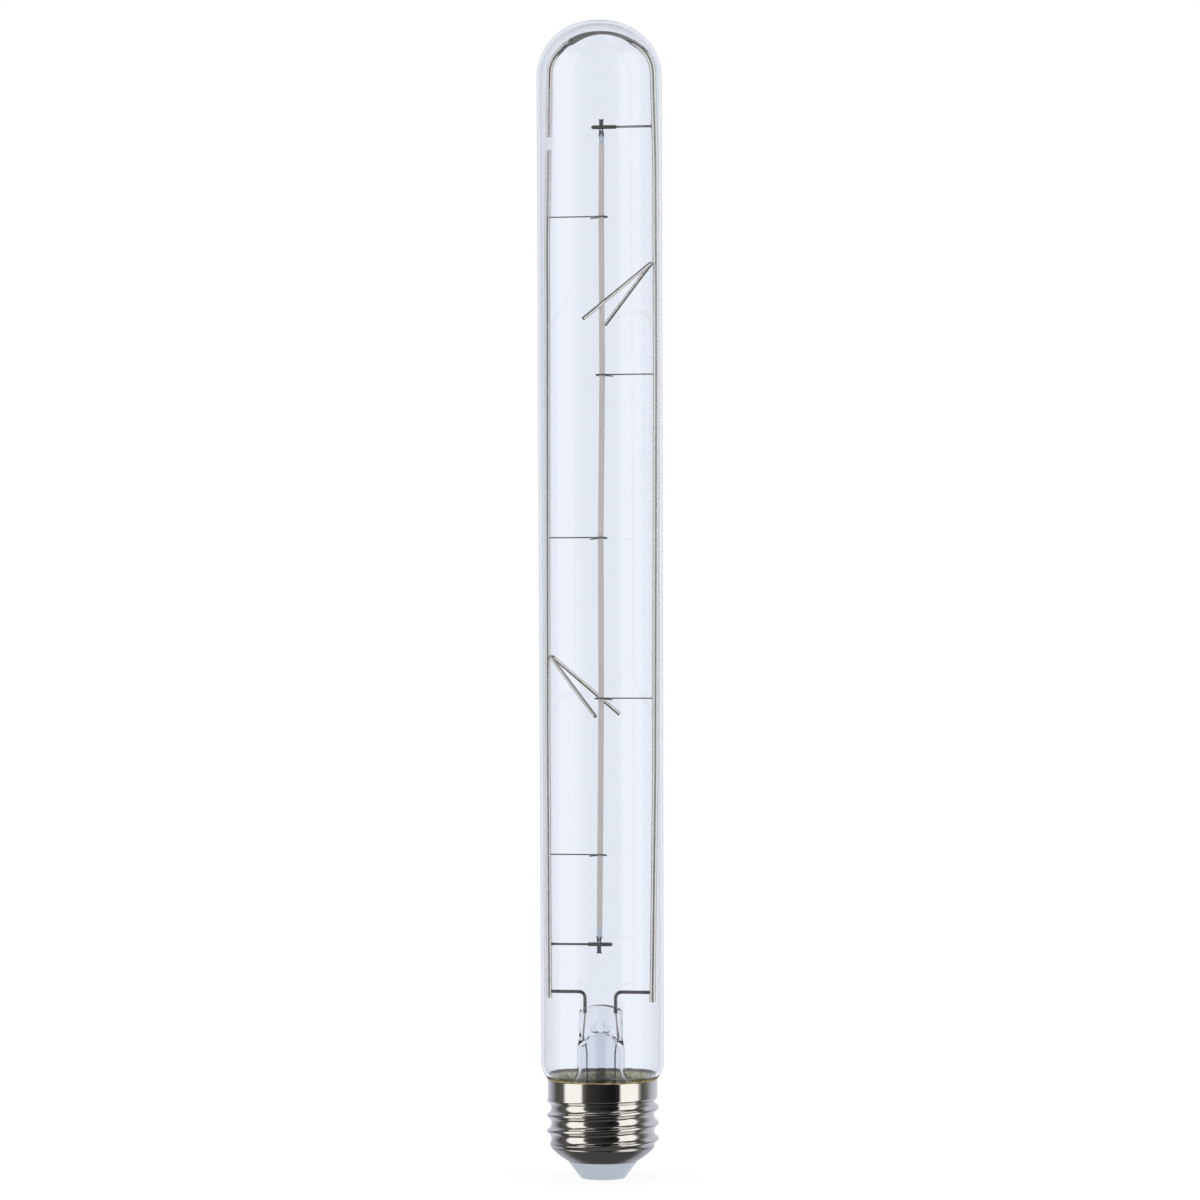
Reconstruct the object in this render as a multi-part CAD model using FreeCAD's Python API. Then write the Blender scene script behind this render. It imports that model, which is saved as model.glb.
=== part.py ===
"""Tubular filament light bulb with an Edison screw cap, standing cap down.

Millimetres, +Z up the tube. The origin is on the axis at the lowest face of the centre contact.
The wires inside lie in one plane through the axis. That plane has its own axes: u runs across
the bulb, w out of the plane and z up. frame_point turns them into the bulb's X, Y and Z.
"""
import FreeCAD
import Part
import math
import os

Vector = FreeCAD.Vector
UP = Vector(0, 0, 1)

# Glass tube and dome
OVERALL_LENGTH = 270.9
TUBE_TOP_RADIUS = 14.65
TUBE_NECK_RADIUS = 14.35
GLASS_WALL = 0.65
DOME_FLATTENING = 1.25
DOME_CROWN_EXTRA = 5.35
SHOULDER_RADIUS = 4.6
NECK_FILLET = 2.5
NECK_FILLET_DROP = 2.016
NECK_END = 19.4

# Screw cap: a seven-to-the-inch rolled thread
THREAD_PITCH = 25.4 / 7
THREAD_CREST_RADIUS = 13.1
THREAD_CREST_KNUCKLE = 0.65
THREAD_ROOT_KNUCKLE = 1.4
THREAD_CREST_HEIGHT = 9.35
THREAD_LEAD_IN = 1.6
THREAD_LEAD_OUT = 1.3
THREAD_TURNS = 5
THREAD_CHORDS = 4
THREAD_CREST_EASE = 0.05
GROOVE_LAP = 20.0
GROOVE_REACH = 3.0
SEAM_TOLERANCE = 0.0001
SHELL_WALL = 0.3
SHELL_RIM = 23.2
COLLAR_RADIUS = 12.8
COLLAR_BOTTOM = 19.2
COLLAR_FOOT = 1.1
TAPER_TOP = 7.3
TAPER_RADIUS = 14.0
LIP_RADIUS = 8.05
LIP_HEIGHT = 3.8

# Insulator, contact and cement
INSULATOR_FOOT_RADIUS = 5.2
CONTACT_RADIUS = 4.6
CONTACT_PROUD = 0.25
CONTACT_EASE = 0.2
CONTACT_THICKNESS = 0.6
CONTACT_SHANK_RADIUS = 1.1
CONTACT_SHANK_TOP = 9.0
CEMENT_GAP = 1.178
CEMENT_BOTTOM = 19.6
CEMENT_BEAD_TOP = 24.5
CEMENT_BEAD_WALL = 0.12

# Glass stem, set a little off the axis. The bubble that the blow hole opens into is a list of
# widths, depths and heights above the exhaust tube's top.
STEM_OFFSET = -0.4
PRESS_WIDTH = 10.0
PRESS_THICKNESS = 3.4
PRESS_BOTTOM = 33.2
PRESS_SHOULDER = 39.2
PRESS_CROWN = 1.3
PRESS_EDGE = 0.8
FLARE_RADIUS = 5.5
FLARE_WALL = 0.75
FLARE_TUBE_TOP = 30.5
FLARE_CURVE_TOP = 25.9
FLARE_CURVE_RADIUS = 5.3
FLARE_CURVE_TURN = 82.0
EXHAUST_RADIUS = 1.27
EXHAUST_WALL = 0.45
EXHAUST_TOP = 34.0
EXHAUST_TIP = 17.2
BUBBLE = [(1.64, 1.2, -0.2), (4.9, 1.7, 0.8), (4.3, 1.5, 1.9), (1.6, 0.7, 2.7)]
BLOW_HOLE_RADIUS = 1.1
BLOW_HOLE_RISE = 1.4
HAIR = 1e-6

# Support wires. Each run is a list of gaps from the glass, with the height that each is at. The
# arch over the crown is a list of shares of the tube's inside radius, with drops from the crown.
FRAME_TURN = -11.0
SUPPORT_RADIUS = 0.675
LEFT_SUPPORT_FOOT = 42.1
LEFT_SUPPORT_DROP = 30.1
RIGHT_SUPPORT_FOOT = 41.3
ARCH_END_DROP = 27.1
ARCH_CORNER_DROP = 9.3
ARCH_FLAT_WIDTH = 2.1
ARCH_FLAT_THICKNESS = 0.85
ARCH_FLAT_TWIST = 22.0
ARCH_FLAT_SPAN = (-7.3, 7.6)
ARCH_FLAT_LAP = 0.5
ARCH_FLAT_STEPS = 10
ARCH_FLAT_ENDS = (0.96, 0.95)
ARCH_SPOT = 0.1
SLEEVE_RADIUS = 0.93
SLEEVE_WALL = 0.17
SLEEVE_LEAD = 7.0
SLEEVE_LOW = (0.43, OVERALL_LENGTH - 45.7)
SLEEVE_HIGH = (1.07, OVERALL_LENGTH - 15.6)
RIGHT_RUN = [
    (1.19, RIGHT_SUPPORT_FOOT),
    (0.46, 95.0),
    (0.06, OVERALL_LENGTH - 80.9),
    (0.15, OVERALL_LENGTH - 32.9),
]
ARCH_RUN = [(0.899, 8.4), (0.3, 2.8), (-0.214, 2.75), (-0.571, 5.45)]
ARCH_BENDS = [300, 300, 150, 8, 13, 13, 4, 7]
LEFT_RUN = [(0.195, LEFT_SUPPORT_FOOT), (0.11, 105.0), (0.56, OVERALL_LENGTH - 65.9)]
LEFT_BENDS = [300, 300, 300]

# Filament: a coated strip held by two terminals and five hooks
STRIP_WIDTH = 1.12
STRIP_THICKNESS = 0.5
COATING_WIDTH = 1.32
COATING_THICKNESS = 0.9
STRIP_TOP_DROP = 26.4
STRIP_BOTTOM = 55.8
COATING_TOP_INSET = 2.7
COATING_BOTTOM_INSET = 2.8
TERMINAL_WIDTH = 1.1
TERMINAL_WAIST = 0.8
TERMINAL_THICKNESS = 0.2
TERMINAL_FORK = 0.8
TERMINAL_HOLE_RADIUS = 0.17
TERMINAL_LENGTH = 3.2
TOP_CROSSBAR_RISE = 1.4
BOTTOM_CROSSBAR_DROP = 1.1
CROSSBAR_RADIUS = 0.23
COLLAR_TUBE_RADIUS = 0.4
TOP_COLLAR = (-1.65, 3.85)
BOTTOM_COLLAR = (-3.3, 2.15)
CORE_TIP = 0.25
WELD_LENGTH = 0.9
WELD_RADIUS = 0.45
FILAMENT_SWAY = [0.52, 0.37, 0.46, 0.0, -0.03, -0.42, -0.66]

# Hooks that carry the filament, from the left and the right support in turn
HOOK_RADIUS = 0.15
HOOK_TOP_DROP = 19.5
HOOK_BOTTOM_RISE = 19.9
HOOK_SHIFTS = [0.0, 0.325, -0.45, -0.725, 0.0]
HOOK_TAIL = 2.6
HOOK_NOSE = 1.45
HOOK_SPREAD = 0.64
HOOK_STRAND_DROP = 0.2
HOOK_BENDS = [1.5, 0.6, 0.5, 0.5, 0.6]

# Spacer springs: V-shaped wires from a support to the front and back of the tube
SPRING_RADIUS = 0.42
SPRING_BEND = 0.9
SPRING_LAND = 0.7
SPRING_WALL_GAP = 0.15
SPRING_SLANT = 1.3
UPPER_SPRING = {"hook": 1, "rise": -11.2, "drop": 13.4, "front": -3.85, "back": 1.3}
LOWER_SPRING = {"hook": 4, "rise": 9.7, "drop": 13.7, "front": -1.35, "back": 4.3}

# Lead wires through the stem
POST_RADIUS = 0.4
POST_SPACING = 7.3
POST_LEVEL = 43.6
POST_BEND = 1.1
POST_FOOT = 38.6
SEAL_WIRE_RADIUS = 0.2
SEAL_WIRE_FOOT = 33.4
SEAL_WIRE_SPREAD = 0.45
TAIL_WIRE_RADIUS = 0.15
TAIL_WAIST = 3.35
TAIL_BENDS = [3.0, 4.0, 1.0]
TAIL_LAP = 1.2
TAIL_WAIST_TOP = 29.5
TAIL_WAIST_FOOT = 21.4

# Driver in the cap
BOARD_WIDTH = 17.0
BOARD_BOTTOM = 9.6
BOARD_TOP = 16.6
BOARD_THICKNESS = 1.0
BOARD_SETBACK = 2.2
RECTIFIER_SIZE = (4.7, 2.4, 3.9)
RECTIFIER_CENTRE = (-4.6, 13.2)
CHIP_SIZE = (4.9, 1.6, 3.9)
CHIP_CENTRE = (4.4, 13.2)
CAPACITOR_RADIUS = 2.5
CAPACITOR_LENGTH = 6.0
CAPACITOR_EDGE = 0.4
RESISTOR_RADIUS = 1.1
RESISTOR_LENGTH = 4.6
RESISTOR_EDGE = 0.28
RESISTOR_LIFT = 1.2
DRIVER_WIRE_RADIUS = 0.25
DRIVER_WIRE_BEND = 0.8
SHELL_WIRE_X = 7.7
SHELL_WIRE_DROP = 1.4

# Sizes that follow from the ones above
DOME_HEIGHT = TUBE_TOP_RADIUS - DOME_FLATTENING
DOME_CROWN_RADIUS = TUBE_TOP_RADIUS + DOME_CROWN_EXTRA
NECK_RADIUS = COLLAR_RADIUS - SHELL_WALL - CEMENT_GAP
SHOULDER_REACH = SHOULDER_RADIUS + NECK_FILLET
SHOULDER_IN = NECK_RADIUS + NECK_FILLET - TUBE_NECK_RADIUS + SHOULDER_RADIUS
SHOULDER_TURN = math.degrees(math.acos(SHOULDER_IN / SHOULDER_REACH))
SHOULDER_DROP = math.sqrt(SHOULDER_REACH**2 - SHOULDER_IN**2)
SHOULDER_TOP = SHELL_RIM - NECK_FILLET_DROP + SHOULDER_DROP
KNUCKLE_SUM = THREAD_CREST_KNUCKLE + THREAD_ROOT_KNUCKLE
THREAD_DEPTH = KNUCKLE_SUM - math.sqrt(KNUCKLE_SUM**2 - (THREAD_PITCH / 2) ** 2)
THREAD_ROOT_RADIUS = THREAD_CREST_RADIUS - THREAD_DEPTH
CREST_CENTRE = THREAD_CREST_RADIUS - THREAD_CREST_KNUCKLE
ROOT_CENTRE = THREAD_ROOT_RADIUS + THREAD_ROOT_KNUCKLE
STRIP_TOP = OVERALL_LENGTH - STRIP_TOP_DROP
COATING_TOP = STRIP_TOP - COATING_TOP_INSET
COATING_BOTTOM = STRIP_BOTTOM + COATING_BOTTOM_INSET
HOOK_TOP = STRIP_TOP - HOOK_TOP_DROP
HOOK_STEP = (HOOK_TOP - STRIP_BOTTOM - HOOK_BOTTOM_RISE) / (len(HOOK_SHIFTS) - 1)
HOOK_HEIGHTS = [HOOK_TOP - HOOK_STEP * at + shift for at, shift in enumerate(HOOK_SHIFTS)]
FILAMENT_LINE = list(zip(FILAMENT_SWAY, [STRIP_TOP] + HOOK_HEIGHTS + [STRIP_BOTTOM]))


def frame_point(u, w, z):
    """Turn a place in the wires' own plane into the bulb's frame."""
    turn = math.radians(FRAME_TURN)
    x = u * math.cos(turn) - w * math.sin(turn)
    y = u * math.sin(turn) + w * math.cos(turn)
    return Vector(x, y, z)


def frame_turned(shape):
    """Turn a solid modelled with u along X and w along Y into the wires' plane."""
    turned = shape.copy()
    turned.rotate(Vector(0, 0, 0), UP, FRAME_TURN)
    return turned


def outline_point(place):
    """Place a radius and a height in the XZ plane, ready to be turned about Z."""
    return Vector(place[0], 0, place[1])


def outline_edges(steps):
    """Join places by lines; a place given with a middle place becomes an arc through it."""
    edges = []
    last = outline_point(steps[0])
    for step in steps[1:]:
        if isinstance(step[0], tuple):
            middle = outline_point(step[0])
            end = outline_point(step[1])
            edges.append(Part.Arc(last, middle, end).toShape())
        else:
            end = outline_point(step)
            edges.append(Part.LineSegment(last, end).toShape())
        last = end
    return edges


def revolved(steps, angle=360):
    """Turn a closed outline of radii and heights about the bulb's axis."""
    edges = outline_edges(steps + [steps[0]])
    return Part.Face(Part.Wire(edges)).revolve(Vector(0, 0, 0), UP, angle)


def arc_steps(centre, radius, start, end):
    """Give an arc's middle and end place, with its angles in degrees from the radial direction."""
    middle = math.radians((start + end) / 2)
    last = math.radians(end)
    mid_place = (centre[0] + radius * math.cos(middle), centre[1] + radius * math.sin(middle))
    end_place = (centre[0] + radius * math.cos(last), centre[1] + radius * math.sin(last))
    return (mid_place, end_place)


def rounded_path(points, bends):
    """Join straight runs by tangent arcs of the given radii."""
    edges = []
    start = points[0]
    for before, corner, after, bend in zip(points, points[1:], points[2:], bends):
        back = (before - corner).normalize()
        onward = (after - corner).normalize()
        half_turn = (math.pi - back.getAngle(onward)) / 2
        reach = bend * math.tan(half_turn)
        first = corner + back * reach
        last = corner + onward * reach
        inward = (back + onward).normalize()
        middle = corner + inward * (bend / math.cos(half_turn) - bend)
        edges.append(Part.LineSegment(start, first).toShape())
        edges.append(Part.Arc(first, middle, last).toShape())
        start = last
    edges.append(Part.LineSegment(start, points[-1]).toShape())
    return Part.Wire(edges)


def round_wire(points, bends, radius):
    """Sweep a round wire along straight runs and tangent arcs."""
    path = rounded_path(points, bends)
    circle = Part.makeCircle(radius, points[0], points[1] - points[0])
    return path.makePipe(Part.Face(Part.Wire(circle)))


def rod(start, end, radius):
    """Make a straight round rod between two places."""
    return Part.makeCylinder(radius, (end - start).Length, start, end - start)


def block(centre, size):
    """Make a box from its centre and its size along X, Y and Z."""
    corner = centre - Vector(size[0], size[1], size[2]) * 0.5
    return Part.makeBox(size[0], size[1], size[2], corner)


def line_place(line, height):
    """Find where a line of (u, z) places stands at a height."""
    places = sorted(line, key=lambda place: place[1])
    for low, high in zip(places, places[1:]):
        if low[1] <= height <= high[1]:
            share = (height - low[1]) / (high[1] - low[1])
            return low[0] + share * (high[0] - low[0])
    return places[0][0] if height < places[0][1] else places[-1][0]


def tube_radius(height):
    """Outer radius of the slightly tapered tube at a height."""
    share = (height - SHOULDER_TOP) / (OVERALL_LENGTH - DOME_HEIGHT - SHOULDER_TOP)
    return TUBE_NECK_RADIUS + share * (TUBE_TOP_RADIUS - TUBE_NECK_RADIUS)


def dome_corner_radius():
    """Radius of the arc that meets both the tube and the dome's crown without a corner."""
    drop = DOME_CROWN_RADIUS - DOME_HEIGHT
    return (DOME_CROWN_RADIUS**2 - TUBE_TOP_RADIUS**2 - drop**2) / (
        2 * (DOME_CROWN_RADIUS - TUBE_TOP_RADIUS)
    )


def glass_outline(inset):
    """Outline of the envelope from the crown down to the neck's end, moved inwards by inset."""
    corner = dome_corner_radius()
    crown_centre = (0, OVERALL_LENGTH - DOME_CROWN_RADIUS)
    corner_centre = (TUBE_TOP_RADIUS - corner, OVERALL_LENGTH - DOME_HEIGHT)
    rise = corner_centre[1] - crown_centre[1]
    join = math.degrees(math.atan2(rise, corner_centre[0]))
    shoulder_centre = (TUBE_NECK_RADIUS - SHOULDER_RADIUS, SHOULDER_TOP)
    fillet_centre = (NECK_RADIUS + NECK_FILLET, SHOULDER_TOP - SHOULDER_DROP)
    steps = [(0, OVERALL_LENGTH - inset)]
    steps.append(arc_steps(crown_centre, DOME_CROWN_RADIUS - inset, 90, join))
    steps.append(arc_steps(corner_centre, corner - inset, join, 0))
    steps.append((TUBE_NECK_RADIUS - inset, SHOULDER_TOP))
    steps.append(arc_steps(shoulder_centre, SHOULDER_RADIUS - inset, 0, -SHOULDER_TURN))
    steps.append(arc_steps(fillet_centre, NECK_FILLET + inset, 180 - SHOULDER_TURN, 180))
    steps.append((NECK_RADIUS - inset, NECK_END))
    return steps


def glass_form(inset):
    """Solid bounded by the envelope's outline, moved inwards by inset."""
    return revolved(glass_outline(inset) + [(0, NECK_END)])


def glass_envelope():
    return glass_form(0).cut(glass_form(GLASS_WALL))


def eased(share):
    """Ease from 0 to 1 with no sudden start or stop."""
    share = min(max(share, 0.0), 1.0)
    return share * share * (3 - 2 * share)


def thread_outline(inset, lowest):
    """Outline of the rolled thread, moved inwards: round crests and valleys in short chords."""
    lean = math.asin(THREAD_PITCH / 2 / KNUCKLE_SUM)
    crest_arc = THREAD_CREST_KNUCKLE - inset
    root_arc = THREAD_ROOT_KNUCKLE + inset
    outline = []
    for turn in range(THREAD_TURNS):
        crest = lowest + turn * THREAD_PITCH
        valley = crest + THREAD_PITCH / 2
        for chord in range(THREAD_CHORDS):
            angle = lean * (2 * chord / THREAD_CHORDS - 1)
            radius = CREST_CENTRE + crest_arc * math.cos(angle)
            outline.append((radius, crest + crest_arc * math.sin(angle)))
        for chord in range(THREAD_CHORDS):
            angle = lean * (1 - 2 * chord / THREAD_CHORDS)
            radius = ROOT_CENTRE - root_arc * math.cos(angle)
            outline.append((radius, valley - root_arc * math.sin(angle)))
    return outline


def helical_groove(inset, half):
    """Cutter for half a turn of the thread's valleys, which laps over the half at both ends."""
    lap = GROOVE_LAP / 360
    climb = THREAD_PITCH * (half / 2 - lap)
    outline = thread_outline(inset, THREAD_CREST_HEIGHT - THREAD_PITCH * 2 + climb)
    foot, low = outline[0]
    high = low + THREAD_TURNS * THREAD_PITCH
    beyond = THREAD_CREST_RADIUS + GROOVE_REACH
    outline += [(foot, high), (beyond, high), (beyond, low), (foot, low)]
    profile = Part.makePolygon([outline_point(place) for place in outline])
    helix = Part.makeHelix(THREAD_PITCH, THREAD_PITCH * (0.5 + 2 * lap), CREST_CENTRE)
    cutter = helix.makePipeShell([profile], True, True)
    cutter.rotate(Vector(0, 0, 0), UP, 180 * half - GROOVE_LAP)
    return cutter.cut(collar_cone(inset))


def collar_cone(inset):
    """Cone that ends the valleys at the collar, moved inwards by inset."""
    root = THREAD_ROOT_RADIUS - inset
    collar = COLLAR_RADIUS - inset
    slope = COLLAR_FOOT / (collar - root)
    reach = GROOVE_REACH * 2
    steps = [
        (root - GROOVE_REACH, COLLAR_BOTTOM - COLLAR_FOOT - GROOVE_REACH * slope),
        (collar + reach, COLLAR_BOTTOM + reach * slope),
        (collar + reach, SHELL_RIM + reach * slope),
        (root - GROOVE_REACH, SHELL_RIM + reach * slope),
    ]
    cone = revolved(steps)
    cone.rotate(Vector(0, 0, 0), UP, 2 * GROOVE_LAP)
    return cone


def shell_blank(inset):
    """Half of the shell's form before the valleys are cut, moved inwards by inset."""
    low, middle, high = [taper_place(share, inset) for share in (0, 0.5, 1)]
    foot = low[1] - 2 * inset
    rim = SHELL_RIM + inset
    collar = COLLAR_RADIUS - inset
    crest = THREAD_CREST_RADIUS + THREAD_CREST_EASE - inset
    steps = [(0, foot), (low[0], foot)] + ([low] if inset else []) + [
        (middle, high),
        (crest, TAPER_TOP + THREAD_LEAD_IN),
        (crest, COLLAR_BOTTOM - THREAD_LEAD_OUT),
        (collar, COLLAR_BOTTOM),
        (collar, rim),
        (0, rim),
    ]
    return revolved(steps, 180)


def taper_circle(inset):
    """Centre and radius of the arc that rounds the cap from the thread down to its lip."""
    top = (THREAD_ROOT_RADIUS, TAPER_TOP)
    chord = math.hypot(top[0] - LIP_RADIUS, top[1] - LIP_HEIGHT)
    radius = TAPER_RADIUS
    away = math.sqrt(radius**2 - chord**2 / 4)
    across = ((top[1] - LIP_HEIGHT) / chord, (LIP_RADIUS - top[0]) / chord)
    centre = (
        (top[0] + LIP_RADIUS) / 2 - across[0] * away,
        (top[1] + LIP_HEIGHT) / 2 - across[1] * away,
    )
    return centre, radius - inset


def taper_place(share, inset):
    """A place on the taper, from its lip at 0 to the thread at 1."""
    centre, radius = taper_circle(inset)
    low = math.atan2(LIP_HEIGHT - centre[1], LIP_RADIUS - centre[0])
    high = math.asin((TAPER_TOP - centre[1]) / radius)
    angle = low + (high - low) * share
    return centre[0] + radius * math.cos(angle), centre[1] + radius * math.sin(angle)


def level_edge(face, height):
    """The closed edge of a face that lies at a height."""
    return min(face.Edges, key=lambda edge: abs(edge.CenterOfMass.z - height) + edge.BoundBox.ZLength)


def screw_shell():
    """The rolled shell, made of two halves because a cutter can't cross its own seam."""
    halves = []
    for half in (0, 1):
        forms = []
        for inset in (0, SHELL_WALL):
            blank = shell_blank(inset)
            blank.rotate(Vector(0, 0, 0), UP, 180 * half)
            forms.append(blank.cut(helical_groove(inset, half)))
        halves.append(forms[0].cut(forms[1]))
    return halves[0].fuse([halves[1]], SEAM_TOLERANCE)


def base_insulator():
    """Moulded cone that fills the shell's lip and holds the centre contact."""
    low, middle, high = [taper_place(share, SHELL_WALL) for share in (0, 0.5, 1)]
    recess = CONTACT_THICKNESS
    steps = [
        (0, CONTACT_PROUD),
        (INSULATOR_FOOT_RADIUS, CONTACT_PROUD),
        (low[0], LIP_HEIGHT),
        low,
        (middle, high),
        (0, high[1]),
    ]
    seat = Part.makeCylinder(CONTACT_RADIUS, recess - CONTACT_PROUD, Vector(0, 0, CONTACT_PROUD))
    shank = Part.makeCylinder(CONTACT_SHANK_RADIUS, CONTACT_SHANK_TOP)
    return revolved(steps).cut(seat).cut(shank)


def centre_contact():
    """Nail-shaped contact: a flat head with an eased edge and a shank through the insulator."""
    head = Part.makeCylinder(CONTACT_RADIUS, CONTACT_THICKNESS)
    shank = Part.makeCylinder(CONTACT_SHANK_RADIUS, CONTACT_SHANK_TOP)
    rim = level_edge(head, 0)
    return head.makeFillet(CONTACT_EASE, [rim]).fuse(shank)


def shoulder_radius(height):
    """Outer radius of the glass shoulder at a height."""
    drop = SHOULDER_TOP - height
    return TUBE_NECK_RADIUS - SHOULDER_RADIUS + math.sqrt(SHOULDER_RADIUS**2 - drop**2)


def cement_ring():
    """Cement between the glass neck and the collar, squeezed out under the glass shoulder."""
    outer = COLLAR_RADIUS - SHELL_WALL
    steps = [
        (0, CEMENT_BOTTOM),
        (outer, CEMENT_BOTTOM),
        (outer, SHELL_RIM),
        (COLLAR_RADIUS - SHELL_WALL / 2, SHELL_RIM),
        (shoulder_radius(CEMENT_BEAD_TOP) + CEMENT_BEAD_WALL, CEMENT_BEAD_TOP),
        (0, CEMENT_BEAD_TOP),
    ]
    return revolved(steps).cut(glass_form(0))


def oval(width, depth, height, centre):
    """A level closed oval of a given width along X and depth along Y."""
    place = Vector(centre, 0, height)
    if width - depth < HAIR:
        return Part.Wire(Part.makeCircle(width / 2, place))
    along = place + Vector(width / 2, 0, 0)
    return Part.Wire(Part.Ellipse(along, place + Vector(0, depth / 2, 0), place).toShape())


def flare_form(inset):
    """The stem's glass from its flared foot up to the press, moved inwards by inset."""
    radius = FLARE_RADIUS - inset
    centre = (FLARE_RADIUS + FLARE_CURVE_RADIUS, FLARE_CURVE_TOP)
    steps = [(0, FLARE_TUBE_TOP), (radius, FLARE_TUBE_TOP), (radius, FLARE_CURVE_TOP)]
    steps.append(arc_steps(centre, FLARE_CURVE_RADIUS + inset, 180, 180 + FLARE_CURVE_TURN))
    foot = steps[-1][1][1]
    steps += [(TUBE_NECK_RADIUS, foot), (TUBE_NECK_RADIUS, NECK_END - inset), (0, NECK_END - inset)]
    tube = revolved(steps)
    tube.translate(Vector(STEM_OFFSET, 0, 0))
    return tube


def press_form():
    """The pinched flat top of the stem with its rounded crown."""
    half = PRESS_WIDTH / 2
    centre = STEM_OFFSET
    left = Vector(centre - half, 0, PRESS_BOTTOM)
    right = Vector(centre + half, 0, PRESS_BOTTOM)
    shoulder = Vector(0, 0, PRESS_SHOULDER - PRESS_BOTTOM)
    crown = Vector(centre, 0, PRESS_SHOULDER + PRESS_CROWN)
    edges = [
        Part.LineSegment(left, right).toShape(),
        Part.LineSegment(right, right + shoulder).toShape(),
        Part.Arc(right + shoulder, crown, left + shoulder).toShape(),
        Part.LineSegment(left + shoulder, left).toShape(),
    ]
    face = Part.Face(Part.Wire(edges))
    face.translate(Vector(0, -PRESS_THICKNESS / 2, 0))
    slab = face.extrude(Vector(0, PRESS_THICKNESS, 0))
    upright = [edge for edge in slab.Edges if abs(edge.BoundBox.ZLength - shoulder.z) < HAIR]
    return slab.makeFillet(PRESS_EDGE, upright)


def stem():
    """Glass stem: the flared tube, drawn into a flat press that seals the lead wires."""
    narrow = FLARE_RADIUS - FLARE_WALL
    low = FLARE_TUBE_TOP
    outer_loft = Part.makeLoft(
        [
            oval(2 * FLARE_RADIUS, 2 * FLARE_RADIUS, low, STEM_OFFSET),
            oval(PRESS_WIDTH, PRESS_THICKNESS, PRESS_BOTTOM + PRESS_EDGE, STEM_OFFSET),
        ],
        True,
    )
    inner_loft = Part.makeLoft(
        [
            oval(2 * narrow, 2 * narrow, low, STEM_OFFSET),
            oval(PRESS_WIDTH / 2, PRESS_THICKNESS / 2, PRESS_BOTTOM, STEM_OFFSET),
        ],
        True,
    )
    solid = flare_form(0).fuse([outer_loft, press_form()])
    solid = solid.common(glass_form(GLASS_WALL))
    solid = solid.cut(flare_form(FLARE_WALL).fuse(inner_loft))
    tube = rod(Vector(STEM_OFFSET, 0, NECK_END), Vector(STEM_OFFSET, 0, EXHAUST_TOP), EXHAUST_RADIUS)
    hole_height = EXHAUST_TOP + BLOW_HOLE_RISE
    hole_start = Vector(STEM_OFFSET, -PRESS_THICKNESS, hole_height)
    hole_end = Vector(STEM_OFFSET, 0, hole_height)
    rings = [oval(width, depth, EXHAUST_TOP + rise, STEM_OFFSET) for width, depth, rise in BUBBLE]
    bubble = Part.makeLoft(rings, True)
    hole = rod(hole_start, hole_end, BLOW_HOLE_RADIUS)
    turned = frame_turned(solid.cut(tube).cut(bubble).cut(hole))
    wires = [make(side) for make in (lead_post, seal_wire, tail_wire) for side in (-1, 1)]
    return turned.cut(wires)


def exhaust_tube():
    """Thin tube through which the bulb was emptied, drawn to a closed tip inside the cap."""
    bore = EXHAUST_RADIUS - EXHAUST_WALL
    belly = (0, EXHAUST_TIP + EXHAUST_RADIUS)
    steps = [
        (0, EXHAUST_TIP),
        arc_steps(belly, EXHAUST_RADIUS, -90, 0),
        (EXHAUST_RADIUS, EXHAUST_TOP),
        (bore, EXHAUST_TOP),
        (bore, belly[1]),
        arc_steps(belly, bore, 0, -90),
    ]
    tube = revolved(steps)
    tube.translate(Vector(STEM_OFFSET, 0, 0))
    return frame_turned(tube)


def wall_place(side, gap, height, radius):
    """Where a wire's centre stands at a height, with a gap between the wire and the glass."""
    return side * (tube_radius(height) - GLASS_WALL - gap - radius), height


def wall_run(side, run, radius):
    """Places of a wire that runs up the inside of the glass on the left (-1) or the right (1)."""
    return [wall_place(side, gap, height, radius) for gap, height in run]


def sleeve_place(height):
    """The insulating sleeve's axis at a height."""
    low, high = wall_run(-1, [SLEEVE_LOW, SLEEVE_HIGH], SLEEVE_RADIUS)
    share = (height - low[1]) / (high[1] - low[1])
    return low[0] + share * (high[0] - low[0]), height


def on_frame(places, w=0.0):
    """Put (u, z) places into the bulb's frame at one depth w."""
    return [frame_point(u, w, z) for u, z in places]


def arch_points():
    """Route of the right support and the arch, ending on the sleeve's axis."""
    inside = TUBE_TOP_RADIUS - GLASS_WALL
    arch = [(share * inside, OVERALL_LENGTH - drop) for share, drop in ARCH_RUN]
    drops = (ARCH_CORNER_DROP, ARCH_END_DROP)
    into_sleeve = [sleeve_place(OVERALL_LENGTH - drop) for drop in drops]
    return wall_run(1, RIGHT_RUN, SUPPORT_RADIUS) + arch + into_sleeve


def crown_spots(low, high):
    """Places along the arch's route over the crown, between two distances from the axis."""
    spots = rounded_path(on_frame(arch_points()), ARCH_BENDS).discretize(Distance=ARCH_SPOT)
    turn = math.radians(FRAME_TURN)
    crown = OVERALL_LENGTH - DOME_HEIGHT
    return [spot for spot in spots if spot.z > crown and low < spot.x / math.cos(turn) < high]


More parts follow.
